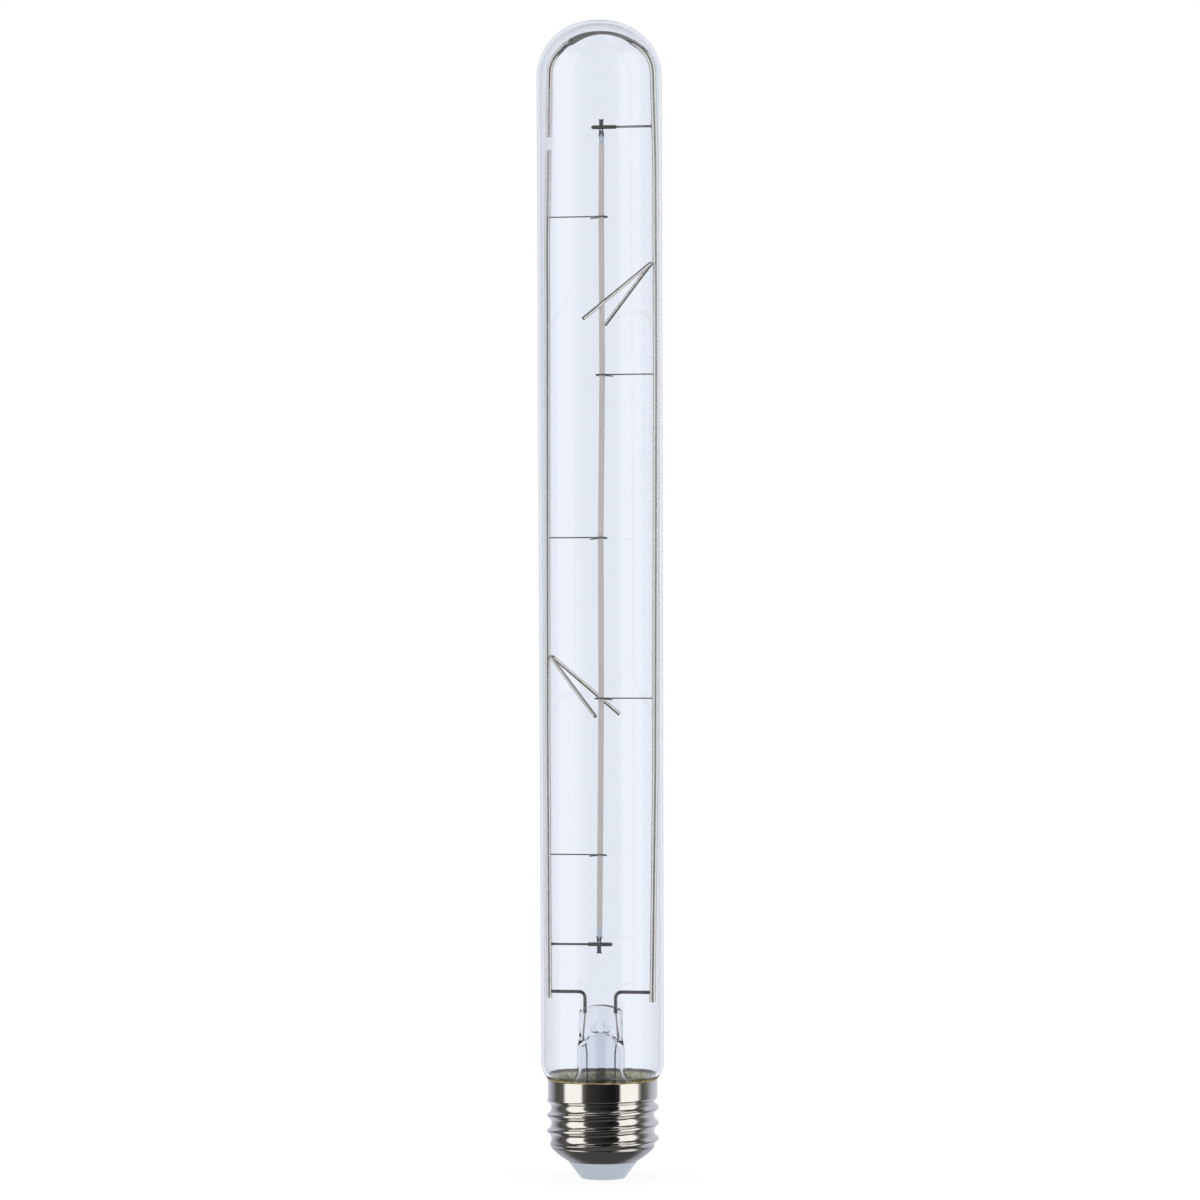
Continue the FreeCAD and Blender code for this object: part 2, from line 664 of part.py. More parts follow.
def arch_flat():
    """The pinched stretch of the arch over the crown, twisted a little from end to end."""
    low, high = ARCH_FLAT_SPAN
    spots = crown_spots(low - ARCH_FLAT_LAP, high + ARCH_FLAT_LAP)
    across = frame_point(0, 1, 0)
    sections = []
    for step in range(ARCH_FLAT_STEPS + 1):
        share = step / ARCH_FLAT_STEPS
        index = min(max(round(share * (len(spots) - 1)), 1), len(spots) - 2)
        along = (spots[index + 1] - spots[index - 1]).normalize()
        swell = eased(min(share, 1 - share) * ARCH_FLAT_STEPS / 2)
        wide = SUPPORT_RADIUS * ARCH_FLAT_ENDS[0] + (ARCH_FLAT_WIDTH / 2 - SUPPORT_RADIUS) * swell
        thin = SUPPORT_RADIUS * ARCH_FLAT_ENDS[1] - (SUPPORT_RADIUS - ARCH_FLAT_THICKNESS / 2) * swell
        twist = math.radians(ARCH_FLAT_TWIST) * (2 * share - 1)
        major = across * math.cos(twist) + along.cross(across).normalize() * math.sin(twist)
        minor = along.cross(major).normalize()
        spot = spots[index]
        ellipse = Part.Ellipse(spot + major * wide, spot + minor * thin, spot)
        sections.append(Part.Wire(ellipse.toShape()))
    return Part.makeLoft(sections, True)


def right_support():
    """Right support wire, which carries on over the dome and down into the sleeve."""
    wire = round_wire(on_frame(arch_points()), ARCH_BENDS, SUPPORT_RADIUS)
    low, high = ARCH_FLAT_SPAN
    crown = OVERALL_LENGTH - DOME_HEIGHT
    gap = Part.makeBox(high - low, 4 * ARCH_FLAT_WIDTH, DOME_HEIGHT)
    gap.translate(Vector(low, -2 * ARCH_FLAT_WIDTH, crown))
    return wire.cut(frame_turned(gap)).fuse(arch_flat())


def left_points():
    """Route of the left support, straight where the sleeve holds it."""
    straight = sleeve_place(SLEEVE_LOW[1] - SLEEVE_LEAD)
    top = sleeve_place(OVERALL_LENGTH - LEFT_SUPPORT_DROP)
    return wall_run(-1, LEFT_RUN, SUPPORT_RADIUS) + [straight, top]


def left_support():
    return round_wire(on_frame(left_points()), LEFT_BENDS, SUPPORT_RADIUS)


def insulating_sleeve():
    """Glass tube that joins the arch's end to the left support without letting them touch."""
    low, high = on_frame(wall_run(-1, [SLEEVE_LOW, SLEEVE_HIGH], SLEEVE_RADIUS))
    return rod(low, high, SLEEVE_RADIUS).cut(rod(low, high, SLEEVE_RADIUS - SLEEVE_WALL))


def support_place(side, height):
    """The centre of the left (-1) or right (1) support at a height."""
    route = left_points() if side < 0 else wall_run(1, RIGHT_RUN, SUPPORT_RADIUS)
    return line_place(route, height)


def strip_form(width, thickness, top, bottom):
    """A flat strip that follows the filament from hook to hook."""
    heights = [top] + [h for _, h in FILAMENT_LINE if bottom < h < top] + [bottom]
    sections = []
    for height in heights:
        u = line_place(FILAMENT_LINE, height)
        corners = []
        for du, dw in ((-1, -1), (1, -1), (1, 1), (-1, 1), (-1, -1)):
            corners.append(frame_point(u + du * width / 2, dw * thickness / 2, height))
        sections.append(Part.makePolygon(corners))
    return Part.makeLoft(sections, True, True)


def filament_strip():
    return strip_form(STRIP_WIDTH, STRIP_THICKNESS, STRIP_TOP, STRIP_BOTTOM)


def filament_coating():
    coat = strip_form(COATING_WIDTH, COATING_THICKNESS, COATING_TOP, COATING_BOTTOM)
    return coat.cut(filament_strip())


def terminal(away, strip_end, crossbar):
    """Forked metal tab on one end of the strip, waisted at the crossbar and pierced beside it."""
    u = line_place(FILAMENT_LINE, strip_end)
    end = strip_end + away * TERMINAL_LENGTH
    fork_tip = strip_end - away * TERMINAL_FORK
    hole = (crossbar + strip_end) / 2
    half = TERMINAL_WIDTH / 2
    waist = TERMINAL_WAIST / 2
    outline = [
        (waist, end - away * (TERMINAL_FORK / 2)),
        (half, end),
        (-half, end),
        (-waist, end - away * (TERMINAL_FORK / 2)),
        (-waist, hole),
        (-half, fork_tip),
        (-half + TERMINAL_THICKNESS, fork_tip),
        (0, strip_end + away * TERMINAL_THICKNESS),
        (half - TERMINAL_THICKNESS, fork_tip),
        (half, fork_tip),
        (waist, hole),
    ]
    corners = [Vector(u + du, 0, z) for du, z in outline]
    plate = Part.Face(Part.makePolygon(corners + corners[:1]))
    plate.translate(Vector(0, -STRIP_THICKNESS / 2 - TERMINAL_THICKNESS, 0))
    solid = plate.extrude(Vector(0, TERMINAL_THICKNESS, 0))
    hole_start = Vector(u, -STRIP_THICKNESS, hole)
    piercing = rod(hole_start, hole_start + Vector(0, STRIP_THICKNESS, 0), TERMINAL_HOLE_RADIUS)
    return frame_turned(solid.cut(piercing))


def crossbar_depth():
    """Depth at which a collar lies against the back of its terminal."""
    return COLLAR_TUBE_RADIUS - STRIP_THICKNESS / 2


def crossbar(side, span, height):
    """Wire from a support to the far end of its collar, with a flared weld at the support."""
    tip = span[0] - CORE_TIP if side > 0 else span[1] + CORE_TIP
    root = support_place(side, height)
    depth = crossbar_depth()
    start = frame_point(root, depth, height)
    wire = rod(start, frame_point(tip, depth, height), CROSSBAR_RADIUS)
    inward = (frame_point(tip, depth, height) - start).normalize()
    reach = SUPPORT_RADIUS + WELD_LENGTH
    weld = Part.makeCone(WELD_RADIUS, CROSSBAR_RADIUS, reach, start, inward)
    support = left_support() if side < 0 else right_support()
    return wire.fuse(weld).cut(support)


def crossbar_collar(span, height):
    """Small tube pressed over the crossbar, to which the terminal is welded."""
    depth = crossbar_depth()
    start = frame_point(span[0], depth, height)
    end = frame_point(span[1], depth, height)
    return rod(start, end, COLLAR_TUBE_RADIUS).cut(rod(start, end, CROSSBAR_RADIUS))


def hook(side, height):
    """Anchor wire: welded to a support, wound once round the filament and back on itself."""
    centre = line_place(FILAMENT_LINE, height)
    root = support_place(side, height)
    front = -HOOK_SPREAD
    drop = HOOK_STRAND_DROP
    places = [
        (root - side * SUPPORT_RADIUS / 2, 0, height),
        (centre + side * HOOK_TAIL, 0, height),
        (centre + side * HOOK_NOSE / 2, front, height),
        (centre - side * HOOK_NOSE, front, height),
        (centre - side * HOOK_NOSE, -front, height - drop),
        (centre + side * HOOK_NOSE / 2, -front, height - drop),
        (centre + side * HOOK_TAIL, drop, height - 2 * drop),
    ]
    wire = round_wire([frame_point(*place) for place in places], HOOK_BENDS, HOOK_RADIUS)
    support = left_support() if side < 0 else right_support()
    return wire.cut(support)


def spring_tip(x, back, height):
    """Where a spring's leg ends, just inside the glass at the front or the back of the tube."""
    reach = tube_radius(height) - GLASS_WALL - SPRING_WALL_GAP - SPRING_RADIUS * SPRING_SLANT
    y = math.sqrt(reach**2 - x**2)
    return Vector(x, y if back else -y, height)


def spacer_spring(side, sizes):
    """V-shaped wire welded by its bend to a support, its legs against the tube's walls."""
    weld = HOOK_HEIGHTS[sizes["hook"] - 1] + sizes["rise"]
    centre = support_place(side, weld)
    apart = SUPPORT_RADIUS + SPRING_RADIUS
    bend = frame_point(centre - side * apart, 0, weld)
    tips = [spring_tip(sizes["front"], False, weld - sizes["drop"])]
    tips.append(spring_tip(sizes["back"], True, weld - sizes["drop"]))
    half = (tips[1] - tips[0]).normalize() * SPRING_LAND
    points = [tips[0], bend - half, bend + half, tips[1]]
    support = left_support() if side < 0 else right_support()
    return round_wire(points, [SPRING_BEND, SPRING_BEND], SPRING_RADIUS).cut(support)


def lead_post(side):
    """Lead-in wire from a support's foot, level and then down to the stem."""
    u = STEM_OFFSET + side * POST_SPACING / 2
    root = support_place(side, POST_LEVEL) - side * SUPPORT_RADIUS / 2
    places = [(root, POST_LEVEL), (u, POST_LEVEL), (u, POST_FOOT)]
    wire = round_wire(on_frame(places), [POST_BEND], POST_RADIUS)
    return wire.cut(left_support() if side < 0 else right_support())


def seal_wire(side):
    """Copper-clad wire sealed in the press."""
    u = STEM_OFFSET + side * POST_SPACING / 2
    start = frame_point(u, 0, POST_FOOT)
    end = frame_point(u + side * SEAL_WIRE_SPREAD, 0, SEAL_WIRE_FOOT)
    return rod(start, end, SEAL_WIRE_RADIUS).cut(lead_post(side))


def tail_wire(side):
    """Outer lead that hangs from the press through the flared tube to the driver board."""
    top = STEM_OFFSET + side * (POST_SPACING / 2 + SEAL_WIRE_SPREAD)
    waist = STEM_OFFSET + side * TAIL_WAIST
    board = BOARD_THICKNESS / 2 + TAIL_WIRE_RADIUS
    points = [
        frame_point(top, 0, SEAL_WIRE_FOOT),
        frame_point(waist, 0, TAIL_WAIST_TOP),
        frame_point(waist, 0, TAIL_WAIST_FOOT),
        Vector(frame_point(waist + side, 0, 0).x, BOARD_SETBACK - board, BOARD_TOP),
        Vector(frame_point(waist + side, 0, 0).x, BOARD_SETBACK - board, BOARD_TOP - TAIL_LAP),
    ]
    return round_wire(points, TAIL_BENDS, TAIL_WIRE_RADIUS).cut(seal_wire(side))


def driver_board():
    """Small upright circuit board in the cap."""
    middle = (BOARD_TOP + BOARD_BOTTOM) / 2
    size = (BOARD_WIDTH, BOARD_THICKNESS, BOARD_TOP - BOARD_BOTTOM)
    return block(Vector(0, BOARD_SETBACK, middle), size)


def board_part(centre, size):
    """A moulded component with its back on the board."""
    depth = BOARD_SETBACK - BOARD_THICKNESS / 2 - size[1] / 2
    return block(Vector(centre[0], depth, centre[1]), size)


def storage_capacitor():
    """Round can lying against the back of the board."""
    depth = BOARD_SETBACK + BOARD_THICKNESS / 2 + CAPACITOR_RADIUS
    middle = (BOARD_TOP + BOARD_BOTTOM) / 2
    start = Vector(-CAPACITOR_LENGTH / 2, depth, middle)
    can = rod(start, start + Vector(CAPACITOR_LENGTH, 0, 0), CAPACITOR_RADIUS)
    return can.makeFillet(CAPACITOR_EDGE, can.Edges)


def fusible_resistor():
    """Resistor that stands on the contact's shank, its upper lead bent back to the board."""
    base = CONTACT_SHANK_TOP
    top = base + RESISTOR_LIFT + RESISTOR_LENGTH
    body = Part.makeCylinder(RESISTOR_RADIUS, RESISTOR_LENGTH, Vector(0, 0, base + RESISTOR_LIFT))
    body = body.makeFillet(RESISTOR_EDGE, body.Edges)
    bend = top + DRIVER_WIRE_BEND + DRIVER_WIRE_RADIUS
    face = BOARD_SETBACK - BOARD_THICKNESS / 2
    lead = [Vector(0, 0, base), Vector(0, 0, bend), Vector(0, face, bend)]
    return body.fuse(round_wire(lead, [DRIVER_WIRE_BEND], DRIVER_WIRE_RADIUS))


def shell_wire(shell):
    """Wire from the board up to the inside of the shell, in the valley below the collar."""
    level = NECK_END - SHELL_WIRE_DROP
    depth = BOARD_SETBACK - BOARD_THICKNESS / 2 - DRIVER_WIRE_RADIUS
    points = [
        Vector(SHELL_WIRE_X, depth, BOARD_TOP - TAIL_LAP),
        Vector(SHELL_WIRE_X, depth, level),
        Vector(THREAD_ROOT_RADIUS - SHELL_WALL / 2, depth, level),
    ]
    return round_wire(points, [DRIVER_WIRE_BEND], DRIVER_WIRE_RADIUS).cut(shell)


def save(name, shape):
    """Write one node, and say what it holds."""
    shape.exportStep(f"parts/{name}.step")
    kinds = f"{len(shape.Solids)} solid, valid {shape.isValid()}, {shape.Volume:.2f} mm3"
    print(f"{name}: {kinds}")


def main():
    os.makedirs("parts", exist_ok=True)
    top_bar = STRIP_TOP + TOP_CROSSBAR_RISE
    bottom_bar = STRIP_BOTTOM - BOTTOM_CROSSBAR_DROP
    shell = screw_shell()
    pieces = {
        "glass_envelope": glass_envelope(),
        "screw_shell": shell,
        "base_insulator": base_insulator(),
        "centre_contact": centre_contact(),
        "cement_ring": cement_ring(),
        "stem": stem(),
        "exhaust_tube": exhaust_tube(),
        "right_support": right_support(),
        "left_support": left_support(),
        "insulating_sleeve": insulating_sleeve(),
        "filament_strip": filament_strip(),
        "filament_coating": filament_coating(),
        "top_terminal": terminal(1, STRIP_TOP, top_bar),
        "bottom_terminal": terminal(-1, STRIP_BOTTOM, bottom_bar),
        "top_crossbar": crossbar(1, TOP_COLLAR, top_bar),
        "bottom_crossbar": crossbar(-1, BOTTOM_COLLAR, bottom_bar),
        "top_collar": crossbar_collar(TOP_COLLAR, top_bar),
        "bottom_collar": crossbar_collar(BOTTOM_COLLAR, bottom_bar),
        "upper_spring": spacer_spring(1, UPPER_SPRING),
        "lower_spring": spacer_spring(-1, LOWER_SPRING),
        "driver_board": driver_board(),
        "bridge_rectifier": board_part(RECTIFIER_CENTRE, RECTIFIER_SIZE),
        "driver_chip": board_part(CHIP_CENTRE, CHIP_SIZE),
        "storage_capacitor": storage_capacitor(),
        "fusible_resistor": fusible_resistor(),
        "shell_wire": shell_wire(shell),
    }
    for number, height in enumerate(HOOK_HEIGHTS, 1):
        pieces[f"anchor_wire_{number}"] = hook(-1 if number % 2 else 1, height)
    for side, name in ((-1, "left"), (1, "right")):
        pieces[f"{name}_lead_post"] = lead_post(side)
        pieces[f"{name}_seal_wire"] = seal_wire(side)
        pieces[f"{name}_tail_wire"] = tail_wire(side)
    for name, shape in pieces.items():
        save(name, shape)


if __name__ == "__main__":
    main()
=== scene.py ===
"""Dresses the tubular light bulb: clear glass, rolled cap, nickel wires, coated filament, stage."""
import bmesh
import bpy
import math
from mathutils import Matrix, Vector, noise


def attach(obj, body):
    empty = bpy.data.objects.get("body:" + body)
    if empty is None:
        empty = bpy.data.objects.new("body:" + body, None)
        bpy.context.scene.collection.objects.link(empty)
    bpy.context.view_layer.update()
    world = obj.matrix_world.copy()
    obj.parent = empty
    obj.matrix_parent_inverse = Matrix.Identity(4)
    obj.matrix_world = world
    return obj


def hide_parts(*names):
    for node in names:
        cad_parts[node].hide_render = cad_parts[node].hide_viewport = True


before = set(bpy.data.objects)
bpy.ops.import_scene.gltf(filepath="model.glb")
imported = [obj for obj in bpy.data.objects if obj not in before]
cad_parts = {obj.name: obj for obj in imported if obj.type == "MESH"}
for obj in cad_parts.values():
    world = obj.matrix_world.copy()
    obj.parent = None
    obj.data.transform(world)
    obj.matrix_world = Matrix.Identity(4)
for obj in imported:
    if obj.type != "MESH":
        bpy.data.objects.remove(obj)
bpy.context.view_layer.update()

bl_info = {
    "name": "Tubular Light Bulb",
    "version": (1, 0, 0),
    "blender": (4, 5, 0),
    "location": "View3D > Sidebar > Bulb",
    "description": "Builds the pieces of a clear tubular light bulb and its studio",
    "category": "Object",
}

MM = 0.001

# Routes of the wires, in millimetres: u across the wires' plane and z up
RIGHT_RUN = [(11.85, 41.3), (12.65, 95.0), (13.18, 190.0), (13.15, 238.0)]
ARCH_RUN = [(12.58, 262.5), (4.2, 268.1), (-3.0, 268.15), (-8.0, 265.45)]
ARCH_BENDS = [300, 300, 150, 8, 13, 13, 4, 7]
LEFT_RUN = [(-12.85, 42.1), (-13.02, 105.0), (-12.7, 205.0)]
LEFT_BENDS = [300, 300, 300]
SLEEVE_LOW = (-12.6, 225.2)
SLEEVE_HIGH = (-12.0, 255.3)
SLEEVE_LEAD = 7.0
# The arch is drawn finely above this height, in steps of degrees round its bends and of
# millimetres between them; the jaws pinch it down to this far below its corner
ARCH_FINE_FROM = 250
ARCH_FINE_TURN = 3.0
ARCH_FINE_STEP = 0.35
PINCH_DROP = 4
ARCH_CORNER = 261.6
ARCH_END = 243.8
LEFT_SUPPORT_TOP = 240.8
# The strip's line, and the heights of the hooks that hold it and their bend radii
FILAMENT_LINE = [
    (-0.66, 55.8), (-0.42, 75.7), (-0.03, 112.3), (0.0, 149.9), (0.46, 188.0), (0.37, 225.2),
    (0.52, 244.5),
]
HOOK_HEIGHTS = [225.0, 188.0, 149.9, 112.3, 75.7]
HOOK_BENDS = [1.5, 0.6, 0.5, 0.5, 0.6]
# Sides of the support wires, steps in each bend of a round wire, and how much further than its
# radius a spring's slanting end reaches
WIRE_SIDES = 28
BEND_STEPS = 10
SPRING_SLANT = 1.3
# The shell's sizes that are cap sizes, and those that are reckoned from them
SHELL_SIZES = [
    "Pitch", "Crest Radius", "Crest Knuckle", "Root Knuckle", "Crest Height", "Lead In",
    "Lip Height", "Taper Top", "Taper Radius", "Collar Radius", "Collar Bottom", "Collar Blend",
    "Rim", "Rim Round",
]
SHELL_RESULTS = ["Thread Depth", "Taper Centre Out", "Taper Centre Up"]
# How much of the bead's height the cement fills on average and at least, how much more it fills
# behind, how ragged, wavy and lumpy it is, and the tone that darkens the bead against the cement in
# the cap: partly baking, partly painted light, as the cement in the cap is painted paler
BEAD_MEAN = 0.58
BEAD_LEAST = 0.12
BEAD_LEAN = 0.4
BEAD_RAGGED = 0.12
BEAD_WAVES = 9
BEAD_LUMPS = 0.4
BAKED_TONE_AND_PAINTED_LIGHT = (0.17, 0.15, 0.12, 1)
# What a mirror sees round the studio, as degrees from the front and light level: the white
# backdrop behind, dark flags, a tall softbox on each side and a dark front between them
STUDIO_ROUND = [
    (-180, 0.7), (-160, 0.75), (-138, 0.5), (-114, 0.09), (-92, 0.14),
    (-84, 1.35), (-47, 1.35),
    (-42, 0.16), (-32, 0.05), (0, 0.02), (22, 0.008), (35, 0.03),
    (40, 1.35), (78, 1.35),
    (84, 0.4), (92, 0.1), (106, 0.2), (124, 0.6), (142, 0.75), (165, 0.75), (179, 0.7),
]
# The wires see the softboxes through the tube, which spreads them wider round
TUBE_ROUND = [
    (-180, 0.2), (-150, 0.08), (-122, 0.05),
    (-112, 1.15), (-38, 1.15),
    (-28, 0.02), (0, 0.01), (30, 0.02),
    (40, 1.15), (110, 1.15),
    (120, 0.05), (150, 0.08), (179, 0.2),
]
# What covers that view up and down, as degrees from level, light level and share covered: the
# dark table below, and over the boxes a dark gap and then their reflectors
STUDIO_VEIL = [
    (-70, 0.1, 1), (-44, 0.075, 1), (-39, 0.075, 0),
    (40, 0.06, 0), (46, 0.06, 1), (57, 0.06, 1), (64, 0.06, 0.4), (80, 0.06, 0.4),
]
# The softboxes are warm; beyond this many degrees from the front is the cooler backdrop
BACKDROP_TURN = 117
WARM_TINT = (1.0, 0.985, 0.96)
COOL_TINT = (0.94, 0.98, 1.12)
VEIL_TINT = (1.0, 0.98, 0.94)
# Light that has run on inside the tube's wall comes out in the glass's own pale lavender
WALL_LIGHT = (0.99, 1.0, 1.05, 1)
# How much of the studio a wire in the sleeve mirrors, and the level of light on matt pieces
SLEEVE_SHARE = 0.6
MATT_LEVEL = 0.85
MATT_IN_TUBE = 0.45
# Each softbox: name, degrees from the front and degrees wide
SOFTBOXES = [("left_softbox", -67, 30), ("right_softbox", 57.5, 28)]
SOFTBOX_AWAY = 0.75
SOFTBOX_TALL = 0.8
SOFTBOX_MIDDLE = 0.2
SOFTBOX_LEVEL = 1.25
FLOOR_HALF = 3.0
# The card's glow as it is seen direct and through the glass, and the glow's share of it
CARD_GLOW = (1.09, 1.0)
CARD_SHARE = (0.75, 1.0)
# The camera stands level with the middle of the bulb
CAMERA_PLACE = (-0.23 * MM, -1.1864, 0.13527)
CAMERA_ROLL = 0.197
CAMERA_LENS = 152.1
CAMERA_SENSOR = 36
SPRINGS = [
    {"side": 1, "weld": 213.8, "tips": 200.4, "front": -3.85, "back": 1.3},
    {"side": -1, "weld": 122.0, "tips": 108.3, "front": -1.35, "back": 4.3},
]
# Each hook's route from its weld: the sides it passes on, as (u, w, z) from the strip's line
HOOK_ROUTE = [
    (2.6, 0, 0), (0.725, -0.64, 0), (-1.45, -0.64, 0), (-1.45, 0.64, -0.2), (0.725, 0.64, -0.2),
    (2.6, 0.2, -0.4),
]


def linear(code):
    """Turn an sRGB hex code into linear red, green and blue."""
    parts = [int(code[at : at + 2], 16) / 255 for at in (1, 3, 5)]
    return [c / 12.92 if c <= 0.04045 else ((c + 0.055) / 1.055) ** 2.4 for c in parts]


def length(name, description, value):
    """A length property, its default given in millimetres."""
    words = {"name": name, "description": description, "unit": "LENGTH", "subtype": "DISTANCE"}
    return bpy.props.FloatProperty(default=value * MM, min=0, precision=5, **words)


def offset(name, description, value):
    """A length property that may be negative, its default given in millimetres."""
    words = {"name": name, "description": description, "unit": "LENGTH", "subtype": "DISTANCE"}
    return bpy.props.FloatProperty(default=value * MM, precision=5, **words)


def angle(name, description, degrees):
    """An angle property, its default given in degrees."""
    words = {"name": name, "description": description, "unit": "ROTATION", "subtype": "ANGLE"}
    return bpy.props.FloatProperty(default=math.radians(degrees), **words)


def factor(name, description, value):
    """A factor property."""
    words = {"name": name, "description": description, "subtype": "FACTOR"}
    return bpy.props.FloatProperty(default=value, min=0, max=2, **words)


def shade(name, description, code):
    """A colour property, its default given as an sRGB hex code."""
    words = {"name": name, "description": description, "subtype": "COLOR"}
    return bpy.props.FloatVectorProperty(default=linear(code), min=0, max=1, size=3, **words)


class BulbGlassSizes(bpy.types.PropertyGroup):
    """Sizes of the blown glass."""

    overall: length("Overall length", "From the contact to the dome's crown", 270.9)
    top_radius: length("Top radius", "Outer radius of the tube below the dome", 14.65)
    neck_radius: length("Bottom radius", "Outer radius of the tube above the shoulder", 14.35)
    wall: length("Wall", "Thickness of the glass", 0.65)
    dome_height: length("Dome height", "From the tube's end to the crown", 13.4)
    crown_radius: length("Crown radius", "Radius of the dome's top", 20.0)
    shoulder_top: length("Shoulder top", "Height at which the tube starts to close in", 27.0)
    shoulder_radius: length("Shoulder radius", "Radius of the shoulder's arc", 4.6)
    neck_fillet: length("Neck fillet", "Radius between the shoulder and the neck", 2.5)
    neck_end: length("Neck end", "Height of the neck's cut end in the cap", 19.4)
    shoulder_turn: angle("Shoulder turn", "Angle through which the shoulder turns inwards", 55)


class BulbCapSizes(bpy.types.PropertyGroup):
    """Sizes of the screw cap."""

    pitch: length("Thread pitch", "Seven turns to the inch", 25.4 / 7)
    crest_radius: length("Crest radius", "Outer radius over the thread", 13.1)
    crest_knuckle: length("Crest knuckle", "Radius of the round crest", 0.5)
    root_knuckle: length("Root knuckle", "Radius of the round valley", 1.6)
    crest_height: length("Crest height", "Height of a crest on the +X side", 9.35)
    lead_in: length("Lead in", "Height over which the thread rises out of the taper", 1.6)
    sheet: length("Sheet", "Thickness of the rolled sheet", 0.3)
    rim: length("Rim height", "Height of the collar's rim", 23.2)
    rim_round: length("Rim rounding", "Radius of the rim's rolled edge", 0.3)
    collar_radius: length("Collar radius", "Outer radius of the plain collar", 12.8)
    collar_bottom: length("Collar bottom", "Height at which the thread runs out", 19.2)
    collar_blend: length("Collar blend", "Height over which the thread fades", 1.3)
    taper_top: length("Taper top", "Height at which the thread starts", 7.3)
    taper_radius: length("Taper radius", "Radius of the taper's arc", 14.0)
    satin_and_shade_drop: length("Satin drop", "How far under the taper's top it is fully satin", 0.6)
    lip_radius: length("Lip radius", "Outer radius at the lower lip", 8.1)
    lip_height: length("Lip height", "Height of the lower lip", 4.15)
    insulator_foot: length("Insulator foot", "Radius of the insulator's foot", 5.15)
    foot_dome: length("Foot dome", "Rise of the insulator's domed underside", 0.02)
    contact_radius: length("Contact radius", "Radius of the contact's head", 4.6)
    contact_proud: length("Contact proud", "How far the contact stands out", 0.12)
    contact_thick: length("Contact thickness", "Thickness of the contact's head", 0.58)
    bead_top: length("Bead top", "Height of the squeezed-out cement", 24.4)
    bead_wall: length("Bead wall", "Thickness of the cement's feathered top edge", 0.12)
    bead_air: length("Bead air", "Air between the glass and the cement behind it", 0.02)
    cement_foot: length("Cement foot", "Height of the cement's lower end in the cap", 19.6)


class BulbWireSizes(bpy.types.PropertyGroup):
    """Sizes of the wires and of the filament."""

    support: length("Support radius", "Radius of the two support wires", 0.675)
    flat_width: length("Pinch width", "Width of the pinched stretch over the dome", 2.1)
    flat_thickness: length("Pinch thickness", "Thickness of the pinched stretch", 0.85)
    pinch_left: offset("Pinch left", "Left end of the pinched stretch", -7.9)
    pinch_right: offset("Pinch right", "Right end of the pinched stretch", 8.1)
    pinch_run: length("Pinch run", "Length over which the round wire turns flat", 1.2)
    pinch_turn: angle("Pinch turn", "Turn of the pinched stretch at its left end", 44)
    hook: length("Hook radius", "Radius of the anchor wires", 0.15)
    spring: length("Spring radius", "Radius of the spacer springs", 0.42)
    spring_bend: length("Spring bend", "Bend radius of the springs", 0.9)
    spring_half: length("Spring half", "Half the width of the springs' bend", 0.7)
    spring_air: length("Spring air", "Gap between a spring's tip and the glass", 0.15)
    post: length("Post radius", "Radius of the lead posts", 0.4)
    post_level: length("Post level", "Height of the posts' level runs", 43.6)
    post_foot: length("Post foot", "Height of the posts' lower ends in the press", 38.6)
    post_bend: length("Post bend", "Bend radius of the posts", 1.4)
    press_middle: offset("Press middle", "Offset of the press from the axis", -0.5)
    press_spread: length("Press spread", "Distance of each post from the press's middle", 3.65)
    weld_sink: length("Weld sink", "How far a welded wire sinks into the support", 0.34)
    coat_wiping: factor("Coat wiping", "Share of its width left to the coat", 0.88)
    tab_spread: factor("Tab spread", "How far the tabs' forks are spread", 1.18)
    collar_swell: length("Collar swell", "Extra radius of the pressed collars", 0.07)
    bar_swell: length("Bar swell", "Extra radius of the crossbars", 0.035)
    turn: angle("Frame turn", "Turn of the wires' plane about the bulb's axis", -11)


class BulbColours(bpy.types.PropertyGroup):
    """Colours of the finishes."""

    glass: shade("Tube glass", "Tint of the tube's glass", "#F4F7FC")
    stem: shade("Stem glass", "Tint of the stem's glass", "#F6F7FA")
    sleeve: shade("Sleeve glass", "Tint of the insulating sleeve", "#FBFBFC")
    plating: shade("Cap plating", "Nickel plating of the cap", "#D9D6D2")
    # Painted shade: the white insulator's colour as it looks in shade under the cap
    insulator: shade("Insulator", "Moulded insulator", "#B6C0CB")
    # The cement's colours are partly painted light: paler, for the cement in the cap that little
    # light reaches
    cement: shade("Cement", "Capping cement", "#F2E2A6")
    cement_dark: shade("Dark cement", "Browned blotches in the cement", "#B0983E")
    nickel: shade("Nickel wire", "Drawn wires", "#E2DCD0")
    hook: shade("Hook wire", "Fine anchor wires", "#8F8C88")
    tab: shade("Terminal", "Stamped terminals", "#8D8988")
    collar: shade("Collar", "Small tubes on the crossbars", "#8A8378")
    post: shade("Lead post", "Lead posts, darkened by the sealing flame", "#7C7670")
    tail: shade("Tail wire", "Oxidised outer leads", "#2A2624")
    copper: shade("Copper wire", "Copper-clad wires in the stem", "#C98A6B")
    strip: shade("Strip", "Fired strip of the filament", "#B6BCC1")
    coat: shade("Coat", "Silicone coat of the filament", "#C6BCB0")
    board: shade("Board", "Solder resist of the driver board", "#2F6B3C")
    epoxy: shade("Epoxy", "Moulded components", "#1E1E20")
    can: shade("Can", "Drawn capacitor can", "#C8C8CA")
    lacquer: shade("Lacquer", "Lacquered resistor", "#7FA6A8")


def scene_sizes():
    """The four property groups of the current scene."""
    scene = bpy.context.scene
    return scene.bulb_glass, scene.bulb_cap, scene.bulb_wires, scene.bulb_colours


